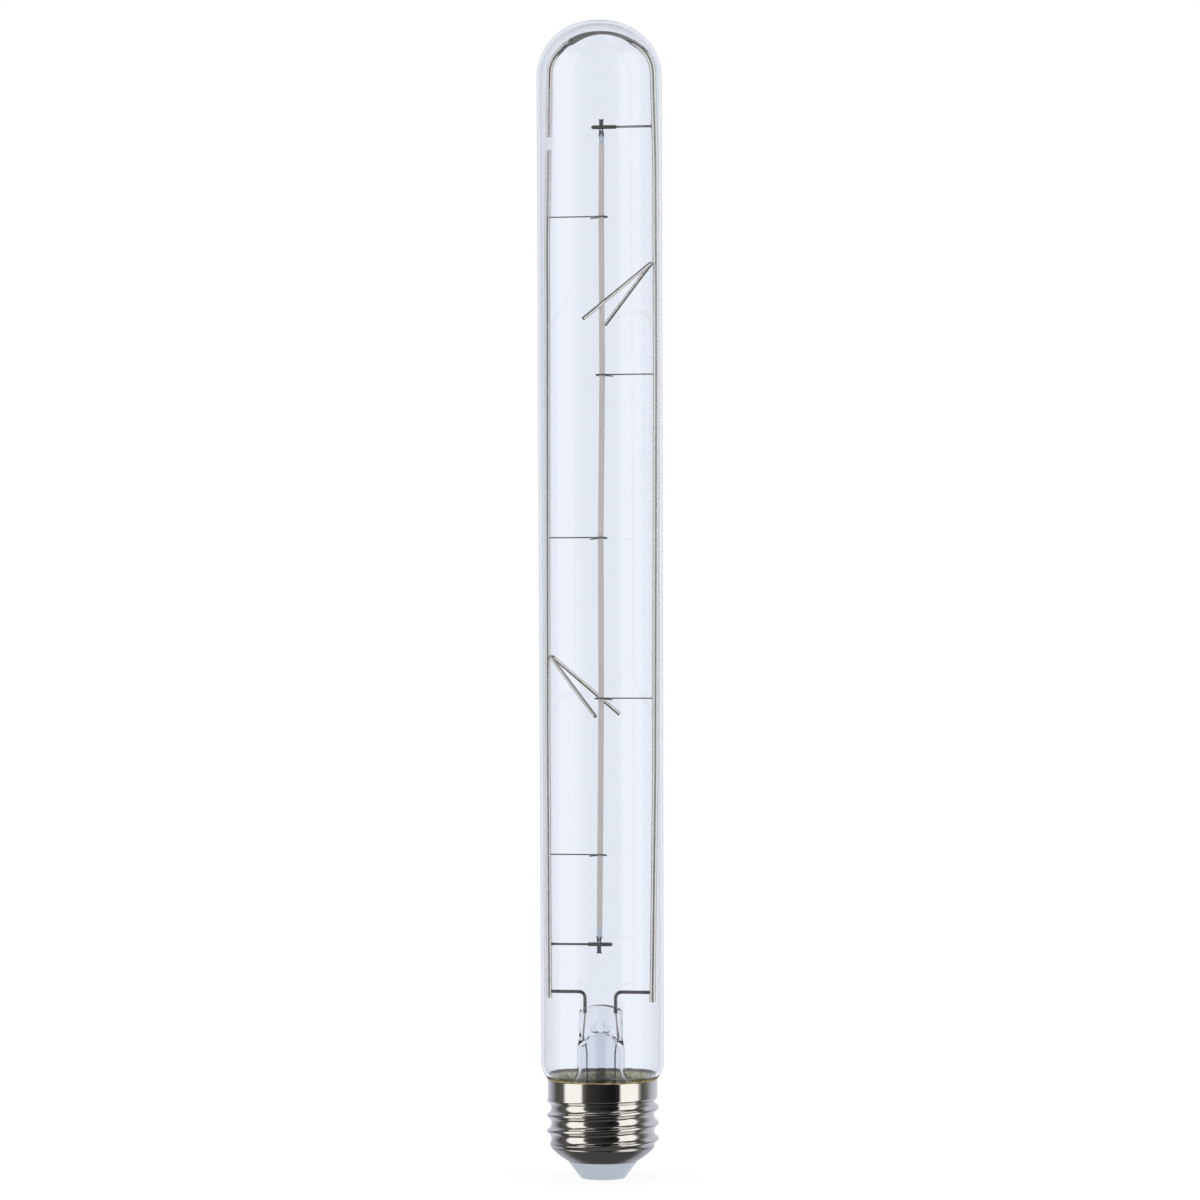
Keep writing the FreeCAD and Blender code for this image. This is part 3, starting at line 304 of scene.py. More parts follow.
def add(tree, kind, inputs=None, **settings):
    """Add a node. Each input takes a plain value, an output socket, or a node's first output."""
    made = tree.nodes.new(kind)
    for key, value in settings.items():
        setattr(made, key, value)
    for key, value in (inputs or {}).items():
        if isinstance(value, bpy.types.Node):
            value = value.outputs[0]
        if isinstance(value, bpy.types.NodeSocket):
            tree.links.new(value, made.inputs[key])
        else:
            made.inputs[key].default_value = value
    return made


def new_material(name):
    """A material with an empty node tree."""
    material = bpy.data.materials.new(name)
    material.use_nodes = True
    material.node_tree.nodes.clear()
    return material, material.node_tree


def tuned(colour, factor=1.0):
    """A colour property as red, green, blue and alpha, made darker or lighter."""
    return [min(c * factor, 1.0) for c in colour] + [1.0]


def lamp_clear(tree, glass, tint):
    """Let lamps' light through a glass shader unbent, so that what is inside is lit."""
    shadow = add(tree, "ShaderNodeLightPath").outputs["Is Shadow Ray"]
    clear = add(tree, "ShaderNodeBsdfTransparent", {"Color": tint})
    mix = add(tree, "ShaderNodeMixShader", {"Fac": shadow, 1: glass, 2: clear})
    add(tree, "ShaderNodeOutputMaterial", {"Surface": mix})


def wavy_glass(name, colour, spacing, strength, relief, look):
    """Clear polished glass with waves of a spacing on each axis and a relief, in millimetres."""
    material, tree = new_material(name)
    place = add(tree, "ShaderNodeTexCoord").outputs["Object"]
    scale = [1 / (gap * MM) for gap in spacing]
    spaced = add(tree, "ShaderNodeMapping", {"Vector": place, "Scale": scale})
    waves = add(tree, "ShaderNodeTexNoise", {"Vector": spaced, "Scale": 1.0, "Detail": 1.0})
    relieved = {"Height": waves, "Strength": strength, "Distance": relief * MM}
    bump = add(tree, "ShaderNodeBump", relieved)
    finish = {"Base Color": tuned(colour), "Roughness": 0.0, "Transmission Weight": 1.0, **look}
    glass = add(tree, "ShaderNodeBsdfPrincipled", {"Normal": bump, **finish})
    lamp_clear(tree, glass, tuned(colour))
    return material


def plain_sleeve_glass(colour):
    """Thin cut glass tube: clear, a little milky where it was cut."""
    material, tree = new_material("plain_sleeve_glass")
    place = add(tree, "ShaderNodeTexCoord").outputs["Object"]
    # Fine cloudy streaks about 1.5 mm long
    sizes = {"Vector": place, "Scale": 1 / (1.5 * MM), "Detail": 2.0}
    cloud = add(tree, "ShaderNodeTexNoise", sizes)
    rough = add(tree, "ShaderNodeMapRange", {"Value": cloud, "To Min": 0.02, "To Max": 0.14})
    glass = add(
        tree,
        "ShaderNodeBsdfPrincipled",
        {"Base Color": tuned(colour), "Roughness": rough, "IOR": 1.48, "Transmission Weight": 1.0},
    )
    lamp_clear(tree, glass, tuned(colour))
    return material


def nickel_plated_sheet():
    """Nickel-plated rolled sheet: bright, with fine rolling scratches and a rougher, painted-shade
    taper.
    """
    _, cap, _, colours = scene_sizes()
    material, tree = new_material("nickel_plated_sheet")
    place = add(tree, "ShaderNodeTexCoord").outputs["Object"]
    # Rolling leaves hairlines round the shell, 0.15 mm apart up the axis
    flat = add(tree, "ShaderNodeMapping", {"Vector": place, "Scale": (120, 120, 1 / (0.15 * MM))})
    hairs = add(tree, "ShaderNodeTexNoise", {"Vector": flat, "Scale": 1.0, "Detail": 3.0})
    # Handling leaves soft clouds about 4 mm wide
    sizes = {"Vector": place, "Scale": 1 / (4 * MM), "Detail": 4.0}
    clouds = add(tree, "ShaderNodeTexNoise", sizes)
    height = add(tree, "ShaderNodeSeparateXYZ", {"Vector": place}).outputs["Z"]
    # The drawn taper keeps its die's satin below the first turn of the thread, and the same mask
    # darkens its colour there as painted shade, where the taper faces down
    low = cap.taper_top - cap.satin_and_shade_drop
    reach = {"Value": height, "From Min": cap.taper_top + cap.lead_in, "From Max": low}
    satin_and_shade = add(tree, "ShaderNodeMapRange", reach, interpolation_type="SMOOTHSTEP")
    polish = add(tree, "ShaderNodeMapRange", {"Value": clouds, "To Min": 0.035, "To Max": 0.09})
    rough = add(tree, "ShaderNodeMath", {0: satin_and_shade, 1: 0.22, 2: polish}, operation="MULTIPLY_ADD")
    shades = {6: tuned(colours.plating, 0.93), 7: tuned(colours.plating, 1.03)}
    tint = add(tree, "ShaderNodeMix", {"Factor": clouds, **shades}, data_type="RGBA").outputs[2]
    # Painted shade: the taper's colour is darkened to 0.62 of the plating
    shades = {6: tint, 7: tuned(colours.plating, 0.62)}
    tint_with_painted_shade = add(tree, "ShaderNodeMix", {"Factor": satin_and_shade, **shades}, data_type="RGBA").outputs[2]
    bump = add(tree, "ShaderNodeBump", {"Height": hairs, "Strength": 0.1, "Distance": 0.005 * MM})
    finish = {"Base Color": tint_with_painted_shade, "Metallic": 1.0, "Roughness": rough, "Normal": bump}
    metal = add(tree, "ShaderNodeBsdfPrincipled", finish)
    add(tree, "ShaderNodeOutputMaterial", {"Surface": metal})
    return material


def drawn_wire(name, colour, streak, roughness):
    """Drawn wire: bright metal with die streaks along it, their spacing given in millimetres."""
    material, tree = new_material(name)
    # grain holds the place on the wire's round in x and y, and the way along it in z
    grain = add(tree, "ShaderNodeAttribute", attribute_name="grain").outputs["Vector"]
    scale = (1 / (streak * MM), 1 / (streak * MM), 40)
    streaks = add(tree, "ShaderNodeMapping", {"Vector": grain, "Scale": scale})
    lines = add(tree, "ShaderNodeTexNoise", {"Vector": streaks, "Scale": 1.0, "Detail": 3.0})
    # Oxide from the welds lies in soft patches about 6 mm long
    sizes = {"Vector": grain, "Scale": 1 / (6 * MM), "Detail": 2.0}
    patches = add(tree, "ShaderNodeTexNoise", sizes)
    shades = {6: tuned(colour, 0.84), 7: tuned(colour, 1.08)}
    tint = add(tree, "ShaderNodeMix", {"Factor": patches, **shades}, data_type="RGBA").outputs[2]
    span = {"To Min": roughness - 0.05, "To Max": roughness + 0.05}
    rough = add(tree, "ShaderNodeMapRange", {"Value": lines, **span})
    bump = add(tree, "ShaderNodeBump", {"Height": lines, "Strength": 0.2, "Distance": 0.01 * MM})
    finish = {"Base Color": tint, "Metallic": 1.0, "Roughness": rough, "Normal": bump}
    metal = add(tree, "ShaderNodeBsdfPrincipled", finish)
    add(tree, "ShaderNodeOutputMaterial", {"Surface": metal})
    return material


def speckled(name, colour, grain, spread, roughness, relief, metallic=0.0):
    """A matt or satin finish with colour specks and relief of one grain size in millimetres."""
    material, tree = new_material(name)
    place = add(tree, "ShaderNodeTexCoord").outputs["Object"]
    sizes = {"Vector": place, "Scale": 1 / (grain * MM), "Detail": 4.0}
    fine = add(tree, "ShaderNodeTexNoise", sizes)
    shades = {6: tuned(colour, 1 - spread), 7: tuned(colour, 1 + spread)}
    tint = add(tree, "ShaderNodeMix", {"Factor": fine, **shades}, data_type="RGBA").outputs[2]
    bump = add(tree, "ShaderNodeBump", {"Height": fine, "Strength": 0.4, "Distance": relief * MM})
    finish = {"Base Color": tint, "Metallic": metallic, "Roughness": roughness, "Normal": bump}
    solid = add(tree, "ShaderNodeBsdfPrincipled", finish)
    add(tree, "ShaderNodeOutputMaterial", {"Surface": solid})
    return material


def frame_place(u, w, z):
    """Turn a place in the wires' plane, in millimetres, into the bulb's frame in metres."""
    turn = bpy.context.scene.bulb_wires.turn
    x = u * math.cos(turn) - w * math.sin(turn)
    y = u * math.sin(turn) + w * math.cos(turn)
    return Vector((x, y, z)) * MM


def line_place(line, height):
    """Where a line of (u, z) places stands at a height."""
    for low, high in zip(line, line[1:]):
        if low[1] <= height <= high[1]:
            share = (height - low[1]) / (high[1] - low[1])
            return low[0] + share * (high[0] - low[0])
    return line[0][0] if height < line[0][1] else line[-1][0]


def sleeve_place(height):
    """The sleeve's axis at a height."""
    share = (height - SLEEVE_LOW[1]) / (SLEEVE_HIGH[1] - SLEEVE_LOW[1])
    return SLEEVE_LOW[0] + share * (SLEEVE_HIGH[0] - SLEEVE_LOW[0]), height


def arch_route():
    """Route of the right support, over the dome and down into the sleeve."""
    return RIGHT_RUN + ARCH_RUN + [sleeve_place(ARCH_CORNER), sleeve_place(ARCH_END)]


def left_route():
    """Route of the left support."""
    straight = sleeve_place(SLEEVE_LOW[1] - SLEEVE_LEAD)
    return LEFT_RUN + [straight, sleeve_place(LEFT_SUPPORT_TOP)]


def support_place(side, height):
    """The u of the left (-1) or right (1) support at a height."""
    return line_place(left_route() if side < 0 else RIGHT_RUN, height)


def rounded_route(places, bends, step):
    """Places along straight runs joined by tangent arcs, a point every step degrees of turn."""
    spots = [places[0]]
    for before, corner, after, bend in zip(places, places[1:], places[2:], bends):
        back = (before - corner).normalized()
        onward = (after - corner).normalized()
        half = (math.pi - back.angle(onward)) / 2
        centre = corner + (back + onward).normalized() * (bend * MM / math.cos(half))
        first = corner + back * (bend * MM * math.tan(half))
        arm = first - centre
        axis = back.cross(onward).normalized()
        count = max(2, round(math.degrees(2 * half) / step) + 1)
        for at in range(count + 1):
            swing = -2 * half * at / count
            turned = arm * math.cos(swing) + axis.cross(arm) * math.sin(swing)
            spots.append(centre + turned)
    return spots + [places[-1]]


def keep_mesh(name, mesh, material, nodes, crease=35):
    """Make the finished object: smooth but for edges sharper than the crease's degrees."""
    mesh.name = name
    mesh.shade_smooth()
    mesh.set_sharp_from_angle(angle=math.radians(crease))
    if not mesh.materials:
        mesh.materials.append(material)
    piece = bpy.data.objects.new(name, mesh)
    bpy.context.scene.collection.objects.link(piece)
    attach(piece, "root")
    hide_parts(*nodes)


def merged(mesh, gap, outwards):
    """A mesh with places nearer than a gap merged and, if asked, its faces turned outwards."""
    work = bmesh.new()
    work.from_mesh(mesh)
    bmesh.ops.remove_doubles(work, verts=work.verts, dist=gap)
    if outwards:
        bmesh.ops.recalc_face_normals(work, faces=work.faces)
    work.to_mesh(mesh)
    work.free()
    return mesh


def mesh_from(places, faces):
    """A mesh from places and faces, its doubles merged and its faces turned outwards."""
    mesh = bpy.data.meshes.new("part")
    mesh.from_pydata(places, [], faces)
    return merged(mesh, 1e-7, outwards=True)


def lathe(outline, count=160):
    """Turn a closed outline of (radius, height) in metres about Z."""
    places = []
    for at in range(count):
        turn = 2 * math.pi * at / count
        for radius, height in outline:
            places.append((radius * math.cos(turn), radius * math.sin(turn), height))
    faces = []
    rows = len(outline)
    for at in range(count):
        onward = (at + 1) % count
        for row in range(rows):
            above = (row + 1) % rows
            if outline[row][0] < 1e-9 and outline[above][0] < 1e-9:
                continue
            near = at * rows
            far = onward * rows
            corners = [near + row, far + row, far + above, near + above]
            if outline[row][0] < 1e-9:
                corners.pop(1)
            elif outline[above][0] < 1e-9:
                corners.pop(3)
            faces.append(corners)
    return mesh_from(places, faces)


def loft(rings):
    """Join rings of places into one closed skin with capped ends."""
    count = len(rings[0])
    places = [place for ring in rings for place in ring]
    faces = []
    for at in range(len(rings) - 1):
        for step in range(count):
            onward = (step + 1) % count
            low = at * count
            high = low + count
            faces.append((low + step, low + onward, high + onward, high + step))
    faces.append(tuple(range(count)))
    faces.append(tuple(range(len(places) - count, len(places))))
    return mesh_from(places, faces)


def arc(centre, radius, start, end, steps):
    """Places on an arc, angles in degrees from the radial direction, its first place left out."""
    places = []
    for at in range(1, steps + 1):
        angle = math.radians(start + (end - start) * at / steps)
        places.append((centre[0] + radius * math.cos(angle), centre[1] + radius * math.sin(angle)))
    return places


def glass_outline(inset):
    """The envelope's outline from the crown down to the neck's end, moved inwards by inset."""
    glass = bpy.context.scene.bulb_glass
    drop = glass.crown_radius - glass.dome_height
    corner = (glass.crown_radius**2 - glass.top_radius**2 - drop**2) / (
        2 * (glass.crown_radius - glass.top_radius)
    )
    crown_centre = (0, glass.overall - glass.crown_radius)
    corner_centre = (glass.top_radius - corner, glass.overall - glass.dome_height)
    rise = corner_centre[1] - crown_centre[1]
    join = math.degrees(math.atan2(rise, corner_centre[0]))
    turn = math.degrees(glass.shoulder_turn)
    shoulder_centre = (glass.neck_radius - glass.shoulder_radius, glass.shoulder_top)
    reach = glass.shoulder_radius + glass.neck_fillet
    fillet_centre = (
        shoulder_centre[0] + reach * math.cos(glass.shoulder_turn),
        shoulder_centre[1] - reach * math.sin(glass.shoulder_turn),
    )
    places = [(0, glass.overall - inset)]
    places += arc(crown_centre, glass.crown_radius - inset, 90, join, 16)
    places += arc(corner_centre, corner - inset, join, 0, 24)
    places.append((glass.neck_radius - inset, glass.shoulder_top))
    places += arc(shoulder_centre, glass.shoulder_radius - inset, 0, -turn, 14)
    places += arc(fillet_centre, glass.neck_fillet + inset, 180 - turn, 180, 8)
    places.append((fillet_centre[0] - glass.neck_fillet - inset, glass.neck_end))
    return places


def tube_radius(height):
    """Outer radius of the slightly tapered tube at a height, all in metres."""
    glass = bpy.context.scene.bulb_glass
    top = glass.overall - glass.dome_height
    share = (height - glass.shoulder_top) / (top - glass.shoulder_top)
    return glass.neck_radius + share * (glass.top_radius - glass.neck_radius)


def smooth_copy(node):
    """A merged copy of a CAD node's mesh, which arrives as loose triangles."""
    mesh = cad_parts[node].data.copy()
    mesh.materials.clear()
    return merged(mesh, 1e-6, outwards=False)


def squeezed(mesh, factor):
    """A mesh drawn in towards the filament's line, or spread from it, in the wires' plane."""
    across = (frame_place(1, 0, 0) - frame_place(0, 0, 0)).normalized()
    for vertex in mesh.vertices:
        height = vertex.co.z / MM
        centre = frame_place(line_place(FILAMENT_LINE, height), 0, height)
        vertex.co += across * (vertex.co - centre).dot(across) * (factor - 1)
    return mesh


def fattened(mesh, extra):
    """A mesh with every vertex moved outwards along its normal."""
    normals = [vertex.normal.copy() for vertex in mesh.vertices]
    for vertex, normal in zip(mesh.vertices, normals):
        vertex.co += normal * extra
    return mesh


def made_plain(piece):
    """The evaluated mesh of an object with live modifiers, the object itself removed."""
    graph = bpy.context.evaluated_depsgraph_get()
    mesh = bpy.data.meshes.new_from_object(piece.evaluated_get(graph))
    bpy.data.objects.remove(piece)
    return mesh


def node_object(name, mesh, tree, values):
    """An object with a Geometry Nodes modifier, its inputs set by their sockets' identifiers."""
    piece = bpy.data.objects.new(name, mesh)
    bpy.context.scene.collection.objects.link(piece)
    modifier = piece.modifiers.new(name, "NODES")
    modifier.node_group = tree
    for item in tree.interface.items_tree:
        if item.item_type == "SOCKET" and item.in_out == "INPUT" and item.name in values:
            modifier[item.identifier] = values[item.name]
    return piece


def new_tree(name, inputs):
    """An empty Geometry Nodes tree with a geometry passing through and named inputs."""
    tree = bpy.data.node_groups.new(name, "GeometryNodeTree")
    tree.interface.new_socket("Geometry", in_out="INPUT", socket_type="NodeSocketGeometry")
    for label, kind in inputs:
        tree.interface.new_socket(label, in_out="INPUT", socket_type=kind)
    tree.interface.new_socket("Geometry", in_out="OUTPUT", socket_type="NodeSocketGeometry")
    return tree, add(tree, "NodeGroupInput").outputs


def end_tree(tree, geometry, material):
    """Close a tree with Realize Instances and Set Material."""
    real = add(tree, "GeometryNodeRealizeInstances", {"Geometry": geometry})
    painted = add(tree, "GeometryNodeSetMaterial", {"Geometry": real, "Material": material})
    add(tree, "NodeGroupOutput", {0: painted})


def bent_wire_tree():
    """Round wires along open polylines, each corner bent to the polyline's own radius."""
    known = bpy.data.node_groups.get("bent_wire")
    if known:
        return known
    inputs = [("Radius", "NodeSocketFloat"), ("Sides", "NodeSocketInt")]
    inputs += [("Bend Steps", "NodeSocketInt"), ("Finish", "NodeSocketMaterial")]
    tree, given = new_tree("bent_wire", inputs)
    kept = {"domain": "POINT", "data_type": "FLOAT"}
    kept_place = {"domain": "POINT", "data_type": "FLOAT_VECTOR"}
    curve = add(tree, "GeometryNodeMeshToCurve", {"Mesh": given["Geometry"]})
    read = {}
    for name, kind in (("bend", "FLOAT"), ("way", "FLOAT"), ("ring", "FLOAT_VECTOR")):
        read[name] = add(tree, "GeometryNodeInputNamedAttribute", {"Name": name}, data_type=kind)
    corners = {"Curve": curve, "Radius": read["bend"], "Count": given["Bend Steps"]}
    bent = add(tree, "GeometryNodeFilletCurve", corners, mode="POLY")
    way = add(tree, "GeometryNodeSplineParameter").outputs["Length"]
    marks = {"Geometry": bent, "Name": "way", "Value": way}
    route = add(tree, "GeometryNodeStoreNamedAttribute", marks, **kept)
    sizes = {"Resolution": given["Sides"], "Radius": given["Radius"]}
    ring = add(tree, "GeometryNodeCurvePrimitiveCircle", sizes)
    marks = {"Geometry": ring, "Name": "ring", "Value": add(tree, "GeometryNodeInputPosition")}
    marked = add(tree, "GeometryNodeStoreNamedAttribute", marks, **kept_place)
    skin = {"Curve": route, "Profile Curve": marked, "Fill Caps": True}
    wire = add(tree, "GeometryNodeCurveToMesh", skin)
    split = add(tree, "ShaderNodeSeparateXYZ", {"Vector": read["ring"]}).outputs
    grain = {"X": split["X"], "Y": split["Y"], "Z": read["way"]}
    grain = add(tree, "ShaderNodeCombineXYZ", grain)
    marks = {"Geometry": wire, "Name": "grain", "Value": grain}
    grained = add(tree, "GeometryNodeStoreNamedAttribute", marks, **kept_place)
    end_tree(tree, grained, given["Finish"])
    return tree


def bent_wires(name, routes, radius, material, nodes, sides=24):
    """Wires along several routes, each a list of places in metres and of bend radii in mm."""
    places = []
    edges = []
    radii = []
    for spots, bends in routes:
        first = len(places)
        places += spots
        radii += [0.0] + [bend * MM for bend in bends] + [0.0]
        edges += [(at, at + 1) for at in range(first, len(places) - 1)]
    mesh = bpy.data.meshes.new(name + "_route")
    mesh.from_pydata(places, edges, [])
    mesh.attributes.new("bend", "FLOAT", "POINT").data.foreach_set("value", radii)
    values = {"Radius": radius, "Sides": sides, "Bend Steps": BEND_STEPS, "Finish": material}
    wire = made_plain(node_object(name, mesh, bent_wire_tree(), values))
    keep_mesh(name, wire, material, nodes, crease=50)


def rolled_shell_tree():
    """The cap's outer skin: a grid wrapped round Z, its radius following the thread's helix."""
    sizes = SHELL_SIZES + SHELL_RESULTS
    inputs = [("Columns", "NodeSocketInt"), ("Rows", "NodeSocketInt")]
    inputs += [(size, "NodeSocketFloat") for size in sizes] + [("Finish", "NodeSocketMaterial")]
    tree, given = new_tree("rolled_shell", inputs)
    flat = {"Vertices X": given["Columns"], "Vertices Y": given["Rows"]}
    grid = add(tree, "GeometryNodeMeshGrid", {"Size X": 1.0, "Size Y": 1.0, **flat})
    place = add(tree, "GeometryNodeInputPosition")
    share = add(tree, "ShaderNodeSeparateXYZ", {"Vector": place}).outputs
    # Each line names a measure, what is done, and the sizes or measures that it is done to
    recipe = [
        ("turn", "ADD", "across", 0.5),
        ("rise", "ADD", "up", 0.5),
        ("tall", "SUBTRACT", "Rim", "Lip Height"),
        ("height", "MULTIPLY_ADD", "rise", "tall", "Lip Height"),
        # How far up the axis a place lies from the nearest crest, which climbs a pitch each turn
        ("climb", "MULTIPLY_ADD", "turn", "Pitch", "Crest Height"),
        ("half", "MULTIPLY", "Pitch", 0.5),
        ("over climb", "SUBTRACT", "height", "climb"),
        ("offset", "ADD", "over climb", "half"),
        ("wrapped", "FLOORED_MODULO", "offset", "Pitch"),
        ("from half", "SUBTRACT", "wrapped", "half"),
        ("away", "ABSOLUTE", "from half"),
        # The round crest and the round valley meet where their arcs have the same slope
        ("knuckles", "ADD", "Crest Knuckle", "Root Knuckle"),
        ("crest part", "MULTIPLY", "half", "Crest Knuckle"),
        ("turning", "DIVIDE", "crest part", "knuckles"),
        ("crest core", "SUBTRACT", "Crest Radius", "Crest Knuckle"),
        ("below", "SUBTRACT", "half", "away"),
        ("root radius", "SUBTRACT", "Crest Radius", "Thread Depth"),
        ("root core", "ADD", "root radius", "Root Knuckle"),
        ("drop", "SUBTRACT", "height", "Taper Centre Up"),
        ("rim start", "SUBTRACT", "Rim", "Rim Round"),
        ("past rim", "SUBTRACT", "height", "rim start"),
        ("over", "MAXIMUM", "past rim", 0.0),
    ]
    # Each of the four arcs reaches the root of its radius squared less its offset squared
    arcs = {
        "crest": ("Crest Knuckle", "away"),
        "root": ("Root Knuckle", "below"),
        "taper": ("Taper Radius", "drop"),
        "rim": ("Rim Round", "over"),
    }
    for name, (radius, offset) in arcs.items():
        recipe += [
            (f"{name} square", "MULTIPLY", radius, radius),
            (f"{name} offset", "MULTIPLY", offset, offset),
            (f"{name} rest", "SUBTRACT", f"{name} square", f"{name} offset"),
            (f"{name} whole", "MAXIMUM", f"{name} rest", 0.0),
            (f"{name} reach", "SQRT", f"{name} whole"),
        ]
    recipe += [
        ("crest", "ADD", "crest core", "crest reach"),
        ("valley", "SUBTRACT", "root core", "root reach"),
        ("on crest", "LESS_THAN", "away", "turning"),
        ("taper", "ADD", "Taper Centre Out", "taper reach"),
        ("on taper", "LESS_THAN", "height", "Taper Top"),
        ("pulled", "SUBTRACT", "Rim Round", "rim reach"),
        ("lead end", "ADD", "Taper Top", "Lead In"),
        ("blend start", "SUBTRACT", "Collar Bottom", "Collar Blend"),
        ("angle", "MULTIPLY", "turn", 2 * math.pi),
        ("cosine", "COSINE", "angle"),
        ("sine", "SINE", "angle"),
    ]
    known = {size: given[size] for size in sizes}
    known.update({"across": share["X"], "up": share["Y"]})
    for name, action, *terms in recipe:
        values = {at: known.get(term, term) for at, term in enumerate(terms)}
        known[name] = add(tree, "ShaderNodeMath", values, operation=action)
    # The thread fades in out of the taper and out into the collar
    fades = []
    for low, high in (("Taper Top", "lead end"), ("blend start", "Collar Bottom")):
        reach = {"Value": known["height"], "From Min": known[low], "From Max": known[high]}
        fades.append(add(tree, "ShaderNodeMapRange", reach, interpolation_type="SMOOTHSTEP"))
    bends = {"Factor": known["on crest"], 2: known["valley"], 3: known["crest"]}
    thread = add(tree, "ShaderNodeMix", bends, data_type="FLOAT")
    lead_in = {"Factor": fades[0], 2: known["root radius"], 3: thread}
    faded = add(tree, "ShaderNodeMix", lead_in, data_type="FLOAT")
    run_out = {"Factor": fades[1], 2: faded, 3: known["Collar Radius"]}
    merged = add(tree, "ShaderNodeMix", run_out, data_type="FLOAT")
    round_off = {"Factor": known["on taper"], 2: merged, 3: known["taper"]}
    body = add(tree, "ShaderNodeMix", round_off, data_type="FLOAT")
    radius = add(tree, "ShaderNodeMath", {0: body, 1: known["pulled"]}, operation="SUBTRACT")
    x = add(tree, "ShaderNodeMath", {0: radius, 1: known["cosine"]}, operation="MULTIPLY")
    y = add(tree, "ShaderNodeMath", {0: radius, 1: known["sine"]}, operation="MULTIPLY")
    wrapped = add(tree, "ShaderNodeCombineXYZ", {"X": x, "Y": y, "Z": known["height"]})
    skin = add(tree, "GeometryNodeSetPosition", {"Geometry": grid, "Position": wrapped})
    joined = add(tree, "GeometryNodeMergeByDistance", {"Geometry": skin, "Distance": 1e-6})
    end_tree(tree, joined, given["Finish"])
    return tree


def taper_centre(cap, root_radius):
    """Centre, out and up, of the arc that rounds the cap from the thread down to its lip."""
    high = (root_radius, cap.taper_top)
    low = (cap.lip_radius, cap.lip_height)
    chord = math.hypot(high[0] - low[0], high[1] - low[1])
    away = math.sqrt(cap.taper_radius**2 - chord**2 / 4)
    across = ((high[1] - low[1]) / chord, (low[0] - high[0]) / chord)
    return [(high[at] + low[at]) / 2 - across[at] * away for at in (0, 1)]


def thread_depth(cap):
    """Depth of a thread whose round crests and valleys meet without a flat between them."""
    both = cap.crest_knuckle + cap.root_knuckle
    return both - math.sqrt(both**2 - (cap.pitch / 2) ** 2)


class BULB_OT_glass(bpy.types.Operator):
    """Blow the glass tube with its dome, shoulder and neck"""

    bl_idname = "bulb.glass"
    bl_label = "Glass tube"

    def execute(self, context):
        glass, _, _, colours = scene_sizes()
        mesh = lathe(glass_outline(0) + glass_outline(glass.wall)[::-1], count=224)
        # Machine-drawn soda-lime tube: clear and fire polished, with faint draw lines about 3 mm
        # apart, 330 to the metre, that run up it
        gap = 1000 / 330
        look = {"IOR": 1.46, "Specular IOR Level": 0.32}
        spacing = (gap, gap, 125)
        drawn = wavy_glass("drawn_soda_lime_glass", colours.glass, spacing, 0.05, 0.02, look)
        keep_mesh("blown_glass_tube", mesh, drawn, ["glass_envelope"], crease=60)
        return {"FINISHED"}


